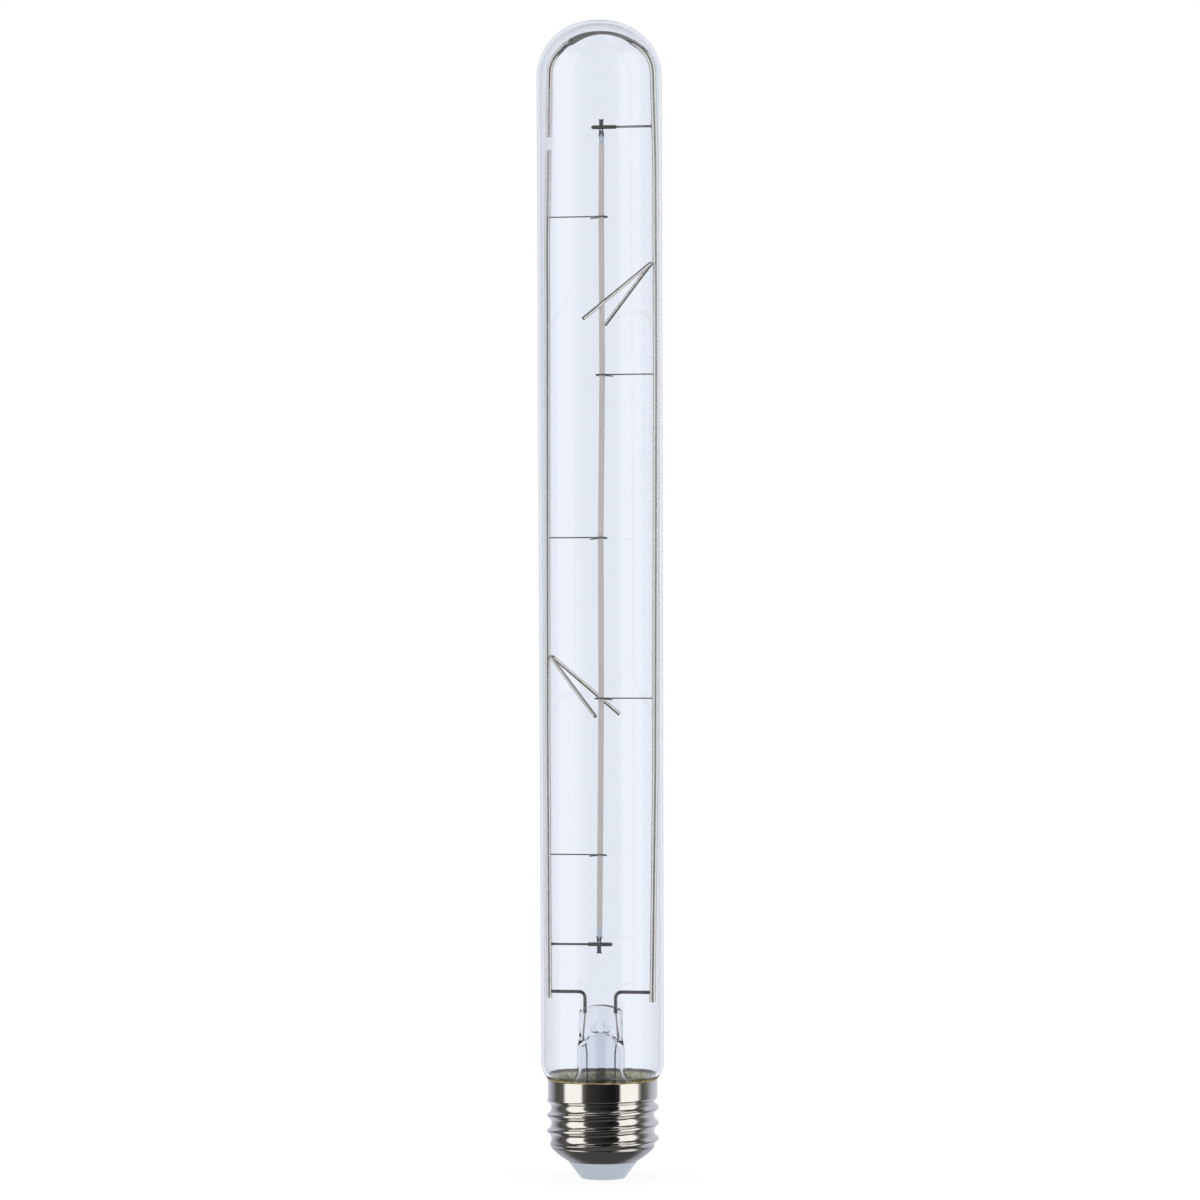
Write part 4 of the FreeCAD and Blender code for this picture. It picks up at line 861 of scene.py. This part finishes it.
class BULB_OT_cap(bpy.types.Operator):
    """Roll the threaded shell and set the insulator and the contact in it"""

    bl_idname = "bulb.cap"
    bl_label = "Screw cap"

    def execute(self, context):
        _, cap, _, colours = scene_sizes()
        self.shell(context, cap)
        # Moulded glass-filled resin: pale, satin, with a fine grain. Its colour carries painted
        # shade: the white resin is given the grey-blue that it shows in shade under the cap
        resin = speckled("moulded_insulator", colours.insulator, 0.5, 0.02, 0.38, 0.01)
        insulator = lathe(self.insulator_outline(cap))
        keep_mesh("moulded_insulator", insulator, resin, ["base_insulator"], crease=30)
        # Tinned brass: pale metal, dulled a little by the tin's grain
        tin = speckled("tinned_brass", colours.plating, 0.6, 0.05, 0.3, 0.01, metallic=1.0)
        button = lathe(self.contact_outline(cap), count=96)
        keep_mesh("contact_button", button, tin, ["centre_contact"], crease=30)
        return {"FINISHED"}

    def shell(self, context, cap):
        """The outer skin, rolled by the thread's rule, with the sheet's thickness inside."""
        depth = thread_depth(cap)
        results = (depth, *taper_centre(cap, cap.crest_radius - depth))
        sheet = nickel_plated_sheet()
        values = {"Columns": 193, "Rows": 260, "Finish": sheet, **dict(zip(SHELL_RESULTS, results))}
        for size in SHELL_SIZES:
            values[size] = getattr(cap, size.lower().replace(" ", "_"))
        blank = bpy.data.meshes.new("shell_blank")
        skin = made_plain(node_object("shell_skin", blank, rolled_shell_tree(), values))
        work = bmesh.new()
        work.from_mesh(skin)
        bmesh.ops.recalc_face_normals(work, faces=work.faces)
        if sum(face.normal.x * face.calc_center_median().x for face in work.faces) < 0:
            bmesh.ops.reverse_faces(work, faces=work.faces)
        work.to_mesh(skin)
        work.free()
        thick = bpy.data.objects.new("shell_thick", skin)
        context.scene.collection.objects.link(thick)
        wall = thick.modifiers.new("sheet", "SOLIDIFY")
        wall.thickness = cap.sheet
        wall.offset = -1
        rolled = made_plain(thick)
        keep_mesh("rolled_screw_shell", rolled, sheet, ["screw_shell"], crease=50)

    def insulator_outline(self, cap):
        """A recess for the contact, a crisp foot, the cone, and a shoulder that carries the lip."""
        foot = cap.contact_proud
        bore = cap.contact_radius + 0.02 * MM
        recess = foot + 0.35 * MM
        crisp = 0.03 * MM
        under_lip = cap.lip_height - 0.01 * MM
        shoulder = cap.lip_radius - 0.35 * MM
        top = cap.lip_height + 0.6 * MM
        return [
            (0, recess),
            (bore, recess),
            (bore, foot - 0.05 * MM),
            (cap.insulator_foot - crisp, foot + cap.foot_dome),
            (cap.insulator_foot, foot + cap.foot_dome + crisp),
            (cap.lip_radius - 0.05 * MM, cap.lip_height - 0.1 * MM),
            (cap.lip_radius - 0.12 * MM, under_lip),
            (shoulder, under_lip),
            (shoulder, top),
            (0, top),
        ]

    def contact_outline(self, cap):
        """A flat head whose edge is eased."""
        edge = cap.contact_radius
        return [
            (0, 0),
            (edge - 0.3 * MM, 0),
            (edge - 0.1 * MM, 0.05 * MM),
            (edge, 0.2 * MM),
            (edge, cap.contact_thick),
            (0, cap.contact_thick),
        ]


class BULB_OT_cement(bpy.types.Operator):
    """Squeeze the cement out between the collar and the glass"""

    bl_idname = "bulb.cement"
    bl_label = "Capping cement"

    def execute(self, context):
        _, cap, _, colours = scene_sizes()
        # The air between keeps the cement bright where it is seen through the glass
        skin = [place for place in glass_outline(-cap.bead_air) if place[1] < cap.bead_top]
        inner = cap.collar_radius - cap.sheet
        outline = [(skin[0][0], cap.bead_top)] + skin + [(skin[-1][0], cap.cement_foot)]
        outline += [(inner, cap.cement_foot), (inner, cap.rim)]
        base = cap.collar_radius - cap.sheet / 2
        steps = 5
        for at in range(steps + 1):
            share = at / steps
            height = cap.rim + (cap.bead_top - cap.rim) * share
            swell = (base - self.glass_radius(skin, cap.rim)) * (1 - share)
            radius = self.glass_radius(skin, height) + swell + cap.bead_wall * share
            outline.append((radius, height))
        mesh = lathe(outline, count=240)
        for vertex in mesh.vertices:
            if vertex.co.z > cap.rim + 0.01 * (cap.bead_top - cap.rim):
                self.squeeze(vertex.co, cap, skin)
        keep_mesh("capping_cement", mesh, self.finish(cap, colours), ["cement_ring"])
        return {"FINISHED"}

    def squeeze(self, place, cap, skin):
        """Move a place on the bead: low in front and high behind, ragged, with small lumps.

        The bulb leans a little in the cap, so that more cement comes out behind. It sets in lumps
        about 1.5 mm across.
        """
        out = place.xy.normalized()
        ragged = BEAD_RAGGED * noise.noise(Vector((out.x, out.y, 0)) * BEAD_WAVES)
        lift = min(max(BEAD_MEAN + BEAD_LEAN * out.y + ragged, BEAD_LEAST), 1.0)
        height = cap.rim + (place.z - cap.rim) * lift
        stand = place.xy.length - self.glass_radius(skin, place.z)
        lump = noise.noise(place / (1.5 * MM)) + 0.5 * noise.noise(place / (0.6 * MM))
        radius = self.glass_radius(skin, height) + stand * (1 + BEAD_LUMPS * lump)
        place.xy = out * radius
        place.z = height

    def glass_radius(self, skin, height):
        """Radius of the outline of places that fall from the tube to the neck, at a height."""
        for high, low in zip(skin, skin[1:]):
            if low[1] <= height <= high[1] and high[1] > low[1]:
                share = (height - low[1]) / (high[1] - low[1])
                return low[0] + share * (high[0] - low[0])
        return skin[0][0] if height > skin[0][1] else skin[-1][0]

    def finish(self, cap, colours):
        """Phenolic capping cement: matt, baked olive brown, blotched; painted light makes it paler
        in the cap.
        """
        material, tree = new_material("baked_capping_cement")
        place = add(tree, "ShaderNodeTexCoord").outputs["Object"]
        # Blotches about 1.2 mm across, where the resin has browned or bleached
        sizes = {"Vector": place, "Scale": 1 / (1.2 * MM), "Detail": 3.0}
        blotch = add(tree, "ShaderNodeTexNoise", sizes)
        ramp = add(tree, "ShaderNodeValToRGB", {"Fac": blotch})
        stops = ramp.color_ramp.elements
        stops[0].position = 0.36
        stops[0].color = tuned(colours.cement_dark)
        stops[1].position = 0.66
        stops[1].color = tuned(colours.cement, 1.15)
        stops.new(0.5).color = tuned(colours.cement)
        # What was squeezed over the rim has baked darker than the cement in the cap, and the cement
        # in the cap is painted pale as painted light, where little light reaches it inside the
        # collar
        height = add(tree, "ShaderNodeSeparateXYZ", {"Vector": place}).outputs["Z"]
        reach = {"Value": height, "From Min": cap.rim - 0.1 * MM, "From Max": cap.rim + 0.3 * MM}
        baked_bead_and_painted_light = add(tree, "ShaderNodeMapRange", reach)
        shades = {"Factor": baked_bead_and_painted_light, 6: (1, 1, 1, 1), 7: BAKED_TONE_AND_PAINTED_LIGHT}
        tone = add(tree, "ShaderNodeMix", shades, data_type="RGBA").outputs[2]
        shades = {"Factor": 1.0, 6: ramp, 7: tone}
        kind = {"data_type": "RGBA", "blend_type": "MULTIPLY"}
        toned = add(tree, "ShaderNodeMix", shades, **kind).outputs[2]
        # Grit of 0.15 mm roughens the surface
        sizes = {"Vector": place, "Scale": 1 / (0.15 * MM), "Detail": 2.0}
        grit = add(tree, "ShaderNodeTexNoise", sizes)
        bump = add(tree, "ShaderNodeBump", {"Height": grit, "Strength": 0.6, "Distance": 0.05 * MM})
        matt = {"Base Color": toned, "Roughness": 0.85, "Normal": bump}
        solid = add(tree, "ShaderNodeBsdfPrincipled", matt)
        add(tree, "ShaderNodeOutputMaterial", {"Surface": solid})
        return material


class BULB_OT_stem(bpy.types.Operator):
    """Press the glass stem and draw its exhaust tube"""

    bl_idname = "bulb.stem"
    bl_label = "Glass stem"

    def execute(self, context):
        _, _, _, colours = scene_sizes()
        # Lead glass worked in a flame: glossy, with waves about 2 mm wide from the tongs. Its IOR
        # is low, which stands in for walls thinner than the press's solid glass
        look = {"IOR": 1.2}
        glass = wavy_glass("pressed_stem_glass", colours.stem, (2, 2, 2), 0.35, 0.1, look)
        for name, node in (("pressed_stem", "stem"), ("exhaust_tube_glass", "exhaust_tube")):
            keep_mesh(name, smooth_copy(node), glass, [node], crease=40)
        return {"FINISHED"}


class BULB_OT_supports(bpy.types.Operator):
    """Draw the two support wires, pinch the arch over the dome and slip on the sleeve"""

    bl_idname = "bulb.supports"
    bl_label = "Support wires"

    def execute(self, context):
        _, _, wires, colours = scene_sizes()
        # Drawn nickel: bright, with die streaks 0.12 mm apart round the wire
        nickel = drawn_wire("drawn_nickel_wire", colours.nickel, 0.12, 0.09)
        right = self.pinched_wire(self.arch_spots(), wires)
        keep_mesh("right_support_wire", right, nickel, ["right_support"], crease=50)
        left = [frame_place(u, 0, z) for u, z in left_route()]
        routes = [(left, LEFT_BENDS)]
        nodes = ["left_support"]
        size = wires.support
        bent_wires("left_support_wire", routes, size, nickel, nodes, WIRE_SIDES)
        sleeve = smooth_copy("insulating_sleeve")
        clear = plain_sleeve_glass(colours.sleeve)
        keep_mesh("glass_sleeve", sleeve, clear, ["insulating_sleeve"], crease=40)
        return {"FINISHED"}

    def arch_spots(self):
        """The right support's route, with places close together over the dome."""
        right = [frame_place(u, 0, z) for u, z in arch_route()]
        spots = rounded_route(right, ARCH_BENDS, ARCH_FINE_TURN)
        filled = [spots[0]]
        for spot in spots[1:]:
            if spot.z > ARCH_FINE_FROM * MM:
                start = filled[-1]
                count = max(1, round((spot - start).length / (ARCH_FINE_STEP * MM)))
                filled += [start.lerp(spot, at / count) for at in range(1, count)]
            filled.append(spot)
        return filled

    def pinched_wire(self, spots, wires):
        """A round wire, pinched flat between jaws over the dome."""
        origin = frame_place(0, 0, 0)
        across = (frame_place(0, 1, 0) - origin).normalized()
        plane = (frame_place(1, 0, 0) - origin).normalized()
        span = wires.pinch_right - wires.pinch_left
        rings = []
        grain = []
        travelled = 0.0
        for at, spot in enumerate(spots):
            before = spots[max(at - 1, 0)]
            after = spots[min(at + 1, len(spots) - 1)]
            along = (after - before).normalized()
            travelled += (spot - before).length
            crown = spot.z > (ARCH_CORNER - PINCH_DROP) * MM
            share = (spot.dot(plane) - wires.pinch_left) / span if crown else 0.0
            inside = min(share, 1 - share) if 0 < share < 1 else 0.0
            swell = min(inside * span / wires.pinch_run, 1.0)
            swell = swell * swell * (3 - 2 * swell)
            wide = wires.support + (wires.flat_width / 2 - wires.support) * swell
            thin = wires.support - (wires.support - wires.flat_thickness / 2) * swell
            # The jaws turned the wire most at the left shoulder, back past flat at the right one
            turned = wires.pinch_turn if share < 0.5 else -wires.pinch_turn / 2
            twist = turned * abs(2 * share - 1) * swell
            side = along.cross(across).normalized()
            major = across * math.cos(twist) + side * math.sin(twist)
            minor = along.cross(major).normalized()
            ring = []
            for step in range(WIRE_SIDES):
                turn = 2 * math.pi * step / WIRE_SIDES
                cosine = math.cos(turn)
                sine = math.sin(turn)
                ring.append(spot + major * wide * cosine + minor * thin * sine)
                grain += [wires.support * cosine, wires.support * sine, travelled]
            rings.append(ring)
        mesh = loft(rings)
        kept = mesh.attributes.new("grain", "FLOAT_VECTOR", "POINT")
        kept.data.foreach_set("vector", grain)
        return mesh


class BULB_OT_filament(bpy.types.Operator):
    """Lay the coated strip between its terminals, collars and crossbars"""

    bl_idname = "bulb.filament"
    bl_label = "Filament"

    def execute(self, context):
        _, _, wires, colours = scene_sizes()
        # Fired alumina: pale and matt. Silicone coat: satin, wiped thin at the strip's edges
        strip = speckled("fired_ceramic_strip", colours.strip, 0.3, 0.04, 0.45, 0.005)
        coat = speckled("silicone_coat", colours.coat, 0.5, 0.05, 0.42, 0.02)
        bare = smooth_copy("filament_strip")
        keep_mesh("ceramic_strip", bare, strip, ["filament_strip"])
        layer = squeezed(smooth_copy("filament_coating"), wires.coat_wiping)
        keep_mesh("silicone_coat", layer, coat, ["filament_coating"])
        # Stamped and drawn nickel, dulled by the welder's heat
        tab = speckled("stamped_nickel_tab", colours.tab, 0.4, 0.08, 0.3, 0.01, metallic=1.0)
        collar = speckled("drawn_collar", colours.collar, 0.4, 0.1, 0.28, 0.01, metallic=1.0)
        for name in ("top", "bottom"):
            node = f"{name}_terminal"
            fork = squeezed(smooth_copy(node), wires.tab_spread)
            keep_mesh(f"{name}_tab", fork, tab, [node])
            node = f"{name}_collar"
            tube = fattened(smooth_copy(node), wires.collar_swell)
            keep_mesh(f"{name}_tube", tube, collar, [node])
            node = f"{name}_crossbar"
            bar = fattened(smooth_copy(node), wires.bar_swell)
            keep_mesh(f"{name}_bar", bar, tab, [node])
        return {"FINISHED"}


class BULB_OT_hooks(bpy.types.Operator):
    """Wind the five anchor wires round the filament"""

    bl_idname = "bulb.hooks"
    bl_label = "Anchor wires"

    def execute(self, context):
        _, _, wires, colours = scene_sizes()
        # Fine drawn wire: grey, with die streaks 0.06 mm apart
        hook = drawn_wire("drawn_hook_wire", colours.hook, 0.06, 0.25)
        routes = []
        for number, height in enumerate(HOOK_HEIGHTS, 1):
            side = -1 if number % 2 else 1
            centre = line_place(FILAMENT_LINE, height)
            root = support_place(side, height) - side * wires.weld_sink / MM
            places = [frame_place(root, 0, height)]
            places += [frame_place(centre + side * u, w, height + z) for u, w, z in HOOK_ROUTE]
            routes.append((places, HOOK_BENDS))
        nodes = [f"anchor_wire_{number}" for number in range(1, 6)]
        bent_wires("anchor_wires", routes, wires.hook, hook, nodes, sides=16)
        return {"FINISHED"}


class BULB_OT_springs(bpy.types.Operator):
    """Bend the two spacer springs"""

    bl_idname = "bulb.springs"
    bl_label = "Spacer springs"

    def execute(self, context):
        glass, _, wires, colours = scene_sizes()
        # Hard-drawn spring wire: bright, with die streaks 0.1 mm apart
        spring = drawn_wire("drawn_spring_wire", colours.nickel, 0.1, 0.08)
        bends = [wires.spring_bend / MM] * 2
        for name, sizes in zip(("upper_spring", "lower_spring"), SPRINGS):
            side = sizes["side"]
            apart = (wires.support + wires.spring) / MM
            root = support_place(side, sizes["weld"]) - side * apart
            bend = frame_place(root, 0, sizes["weld"])
            # The slanting wire's end reaches a little further out than its radius
            reach = tube_radius(sizes["tips"] * MM) - glass.wall - wires.spring_air
            reach -= wires.spring * SPRING_SLANT
            tips = []
            for x, away in ((sizes["front"] * MM, -1), (sizes["back"] * MM, 1)):
                y = math.sqrt(reach**2 - x**2) * away
                tips.append(Vector((x, y, sizes["tips"] * MM)))
            half = (tips[1] - tips[0]).normalized() * wires.spring_half
            routes = [([tips[0], bend - half, bend + half, tips[1]], bends)]
            bent_wires(f"{name}_wire", routes, wires.spring, spring, [name])
        return {"FINISHED"}


class BULB_OT_leads(bpy.types.Operator):
    """Bend the lead posts and run the wires through the stem"""

    bl_idname = "bulb.leads"
    bl_label = "Lead wires"

    def execute(self, context):
        _, _, wires, colours = scene_sizes()
        # Drawn nickel that the sealing flame has darkened
        post = drawn_wire("drawn_post_wire", colours.post, 0.1, 0.16)
        level = wires.post_level / MM
        foot = wires.post_foot / MM
        routes = []
        for side in (-1, 1):
            u = (wires.press_middle + side * wires.press_spread) / MM
            root = support_place(side, level) - side * wires.weld_sink / MM
            spots = ((root, level), (u, level), (u, foot))
            routes.append(([frame_place(u, 0, z) for u, z in spots], [wires.post_bend / MM]))
        nodes = ["left_lead_post", "right_lead_post"]
        bent_wires("lead_posts", routes, wires.post, post, nodes)
        # Copper-clad wire, pink where the glass wets it, and black oxide on the outer leads
        copper = speckled("copper_clad_wire", colours.copper, 0.4, 0.12, 0.3, 0.01, metallic=1.0)
        tail = speckled("oxidised_tail_wire", colours.tail, 0.4, 0.1, 0.4, 0.01, metallic=1.0)
        for side in ("left", "right"):
            for kind, finish in (("seal", copper), ("tail", tail)):
                node = f"{side}_{kind}_wire"
                wire = smooth_copy(node)
                keep_mesh(f"{node}_drawn", wire, finish, [node], crease=60)
        return {"FINISHED"}


class BULB_OT_driver(bpy.types.Operator):
    """Finish the driver that the cap hides"""

    bl_idname = "bulb.driver"
    bl_label = "Driver"

    def execute(self, context):
        _, _, _, colours = scene_sizes()
        # Green solder resist, black moulded epoxy, a drawn can, lacquer and tinned copper
        board = speckled("solder_resist", colours.board, 0.8, 0.08, 0.5, 0.01)
        epoxy = speckled("moulded_epoxy", colours.epoxy, 0.2, 0.1, 0.6, 0.01)
        can = speckled("drawn_can", colours.can, 0.3, 0.04, 0.3, 0.01, metallic=1.0)
        lacquer = speckled("resistor_lacquer", colours.lacquer, 0.4, 0.06, 0.35, 0.01)
        tinned = speckled("tinned_copper", colours.copper, 0.3, 0.1, 0.3, 0.01, metallic=1.0)
        finishes = {
            "driver_board": board,
            "bridge_rectifier": epoxy,
            "driver_chip": epoxy,
            "storage_capacitor": can,
            "fusible_resistor": lacquer,
            "shell_wire": tinned,
        }
        for name, finish in finishes.items():
            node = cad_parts[name]
            node.data.materials.clear()
            node.data.materials.append(finish)
        return {"FINISHED"}


def studio_spot(turn, level):
    """A ramp's share of the turn and its colour, for a direction and a light level round about."""
    tint = WARM_TINT if abs(turn) < BACKDROP_TURN else COOL_TINT
    return turn / 360 + 0.5, (*(level * part for part in tint), 1)


def veil_spot(lift, level, cover):
    """A ramp's share of the rise and its colour, for an angle up, a light level and a cover."""
    return lift / 180 + 0.5, (*(level * part for part in VEIL_TINT), cover)


class BULB_OT_stage(bpy.types.Operator):
    """Set the pale floor, the soft studio light and the camera"""

    bl_idname = "bulb.stage"
    bl_label = "Stage"

    def execute(self, context):
        scene = context.scene
        scene.view_settings.view_transform = "Standard"
        self.floor(scene)
        self.world(scene)
        self.lamps(scene)
        eye = bpy.data.cameras.new("camera")
        eye.sensor_width = CAMERA_SENSOR
        eye.lens = CAMERA_LENS
        camera = bpy.data.objects.new("camera", eye)
        camera.location = CAMERA_PLACE
        camera.rotation_euler = (math.radians(90), math.radians(CAMERA_ROLL), 0)
        scene.collection.objects.link(camera)
        scene.camera = camera
        return {"FINISHED"}

    def floor(self, scene):
        """A pale floor that keeps a soft shadow; the metal reflects the studio instead of it."""
        mesh = bpy.data.meshes.new("floor")
        half = FLOOR_HALF
        corners = [(-half, -half, 0), (half, -half, 0), (half, half, 0), (-half, half, 0)]
        mesh.from_pydata(corners, [], [(0, 1, 2, 3)])
        material, tree = new_material("matt_white_card")
        path = add(tree, "ShaderNodeLightPath").outputs
        card = add(tree, "ShaderNodeBsdfDiffuse", {"Color": (0.9, 0.9, 0.9, 1)})
        # Seen through the glass the card is plain white; seen direct it also takes the shadow
        behind = {0: path["Transmission Depth"], 1: 0.5}
        through = add(tree, "ShaderNodeMath", behind, operation="GREATER_THAN")
        spans = []
        for low, high in (CARD_GLOW, CARD_SHARE):
            span = {"Value": through, "To Min": low, "To Max": high}
            spans.append(add(tree, "ShaderNodeMapRange", span))
        strength, share = spans
        glow = add(tree, "ShaderNodeEmission", {"Color": (1, 1, 1, 1), "Strength": strength})
        pale = add(tree, "ShaderNodeMixShader", {"Fac": share, 1: card, 2: glow})
        clear = add(tree, "ShaderNodeBsdfTransparent")
        mirrored = {0: path["Glossy Depth"], 1: 0.5}
        seen = add(tree, "ShaderNodeMath", mirrored, operation="GREATER_THAN")
        both = add(tree, "ShaderNodeMixShader", {"Fac": seen, 1: pale, 2: clear})
        add(tree, "ShaderNodeOutputMaterial", {"Surface": both})
        mesh.materials.append(material)
        floor = bpy.data.objects.new("floor", mesh)
        scene.collection.objects.link(floor)

    def world(self, scene):
        """White to the eye and through the glass; reflections see the studio round the bulb."""
        world = bpy.data.worlds.new("studio")
        world.use_nodes = True
        tree = world.node_tree
        tree.nodes.clear()
        path = add(tree, "ShaderNodeLightPath").outputs
        place = add(tree, "ShaderNodeTexCoord").outputs["Generated"]
        way = add(tree, "ShaderNodeSeparateXYZ", {"Vector": place}).outputs
        known = {"x": way["X"], "y": way["Y"], "z": way["Z"]}
        known.update({"glossy": path["Glossy Depth"], "diffuse": path["Diffuse Depth"]})
        known["passes"] = path["Transmission Depth"]
        # Each line names a measure, what is done, and what it is done to
        recipe = [
            # Shares of the turn round from the front, where the camera stands, and up from level
            ("ahead", "MULTIPLY", "y", -1.0),
            ("round", "ARCTAN2", "x", "ahead"),
            ("turn", "MULTIPLY_ADD", "round", 0.5 / math.pi, 0.5),
            ("lift", "ARCSINE", "z"),
            ("rise", "MULTIPLY_ADD", "lift", 1 / math.pi, 0.5),
            # A bare mirror counts no passes through glass, a wire in the tube four and one in the
            # sleeve too eight; two are light that only ran on inside the tube's wall
            ("mirrored", "GREATER_THAN", "glossy", 0.5),
            ("outside", "COMPARE", "passes", 0.0, 0.5),
            ("wall", "COMPARE", "passes", 2.0, 0.5),
            ("tube", "COMPARE", "passes", 4.0, 0.5),
            ("sleeve", "COMPARE", "passes", 8.0, 0.5),
            ("some sleeve", "MULTIPLY", "sleeve", SLEEVE_SHARE),
            ("wires", "MAXIMUM", "tube", "some sleeve"),
            ("in wall", "MULTIPLY", "mirrored", "wall"),
            ("bare mirror", "MULTIPLY", "mirrored", "outside"),
            ("wire mirror", "MULTIPLY", "mirrored", "wires"),
            # Matt pieces in the tube are lit a little more than those outside it
            ("matt", "GREATER_THAN", "diffuse", 0.5),
            ("behind glass", "GREATER_THAN", "passes", 1.5),
            ("inside", "MULTIPLY", "matt", "behind glass"),
            ("plain level", "MULTIPLY_ADD", "matt", MATT_LEVEL - 1, 1.0),
            ("level", "MULTIPLY_ADD", "inside", MATT_IN_TUBE, "plain level"),
        ]
        for name, action, *terms in recipe:
            values = {at: known.get(term, term) for at, term in enumerate(terms)}
            known[name] = add(tree, "ShaderNodeMath", values, operation=action)
        views = {
            "bare mirror": ("turn", [studio_spot(*spot) for spot in STUDIO_ROUND]),
            "wire mirror": ("turn", [studio_spot(*spot) for spot in TUBE_ROUND]),
            "veil": ("rise", [veil_spot(*spot) for spot in STUDIO_VEIL]),
        }
        ramps = {}
        for name, (measure, spots) in views.items():
            ramps[name] = add(tree, "ShaderNodeValToRGB", {"Fac": known[measure]})
            stops = ramps[name].color_ramp.elements
            stops.remove(stops[0])
            for at, (share, colour) in enumerate(spots):
                stop = stops[0] if at == 0 else stops.new(share)
                stop.position = share
                stop.color = colour
        level = known["level"]
        white = add(tree, "ShaderNodeCombineXYZ", {"X": level, "Y": level, "Z": level})
        shades = {"Factor": known["in wall"], 6: white, 7: WALL_LIGHT}
        colour = add(tree, "ShaderNodeMix", shades, data_type="RGBA").outputs[2]
        veil = ramps["veil"]
        for mirror in ("bare mirror", "wire mirror"):
            shades = {"Factor": veil.outputs["Alpha"], 6: ramps[mirror], 7: veil}
            covered = add(tree, "ShaderNodeMix", shades, data_type="RGBA").outputs[2]
            shades = {"Factor": known[mirror], 6: colour, 7: covered}
            colour = add(tree, "ShaderNodeMix", shades, data_type="RGBA").outputs[2]
        light = add(tree, "ShaderNodeBackground", {"Color": colour, "Strength": 1.0})
        add(tree, "ShaderNodeOutputWorld", {"Surface": light})
        scene.world = world

    def lamps(self, scene):
        """Two tall softboxes that light the matt pieces; reflections see the world's studio, not
        them.
        """
        for name, turn, spread in SOFTBOXES:
            lamp = bpy.data.lights.new(name, "AREA")
            lamp.shape = "RECTANGLE"
            lamp.size = 2 * SOFTBOX_AWAY * math.tan(math.radians(spread / 2))
            lamp.size_y = SOFTBOX_TALL
            lamp.energy = SOFTBOX_LEVEL * math.pi * lamp.size * lamp.size_y
            box = bpy.data.objects.new(name, lamp)
            turned = math.radians(turn)
            away = SOFTBOX_AWAY
            box.location = (away * math.sin(turned), -away * math.cos(turned), SOFTBOX_MIDDLE)
            box.rotation_euler = (math.radians(90), 0, turned)
            box.visible_camera = False
            box.visible_transmission = False
            box.visible_glossy = False
            scene.collection.objects.link(box)


class BULB_PT_panel(bpy.types.Panel):
    """Lists the steps that build the bulb"""

    bl_label = "Tubular Light Bulb"
    bl_idname = "BULB_PT_panel"
    bl_space_type = "VIEW_3D"
    bl_region_type = "UI"
    bl_category = "Bulb"

    def draw(self, context):
        for step in STEPS:
            self.layout.operator(step.bl_idname)


GROUPS = {
    "bulb_glass": BulbGlassSizes,
    "bulb_cap": BulbCapSizes,
    "bulb_wires": BulbWireSizes,
    "bulb_colours": BulbColours,
}
STEPS = (
    BULB_OT_glass,
    BULB_OT_cap,
    BULB_OT_cement,
    BULB_OT_stem,
    BULB_OT_supports,
    BULB_OT_filament,
    BULB_OT_hooks,
    BULB_OT_springs,
    BULB_OT_leads,
    BULB_OT_driver,
    BULB_OT_stage,
)


def register():
    for group in GROUPS.values():
        bpy.utils.register_class(group)
    for name, group in GROUPS.items():
        setattr(bpy.types.Scene, name, bpy.props.PointerProperty(type=group))
    for step in STEPS:
        bpy.utils.register_class(step)
    bpy.utils.register_class(BULB_PT_panel)


def unregister():
    bpy.utils.unregister_class(BULB_PT_panel)
    for step in reversed(STEPS):
        bpy.utils.unregister_class(step)
    for name, group in GROUPS.items():
        delattr(bpy.types.Scene, name)
        bpy.utils.unregister_class(group)


def main():
    register()
    bpy.ops.bulb.glass()
    bpy.ops.bulb.cap()
    bpy.ops.bulb.cement()
    bpy.ops.bulb.stem()
    bpy.ops.bulb.supports()
    bpy.ops.bulb.filament()
    bpy.ops.bulb.hooks()
    bpy.ops.bulb.springs()
    bpy.ops.bulb.leads()
    bpy.ops.bulb.driver()
    bpy.ops.bulb.stage()


if __name__ == "__main__":
    main()
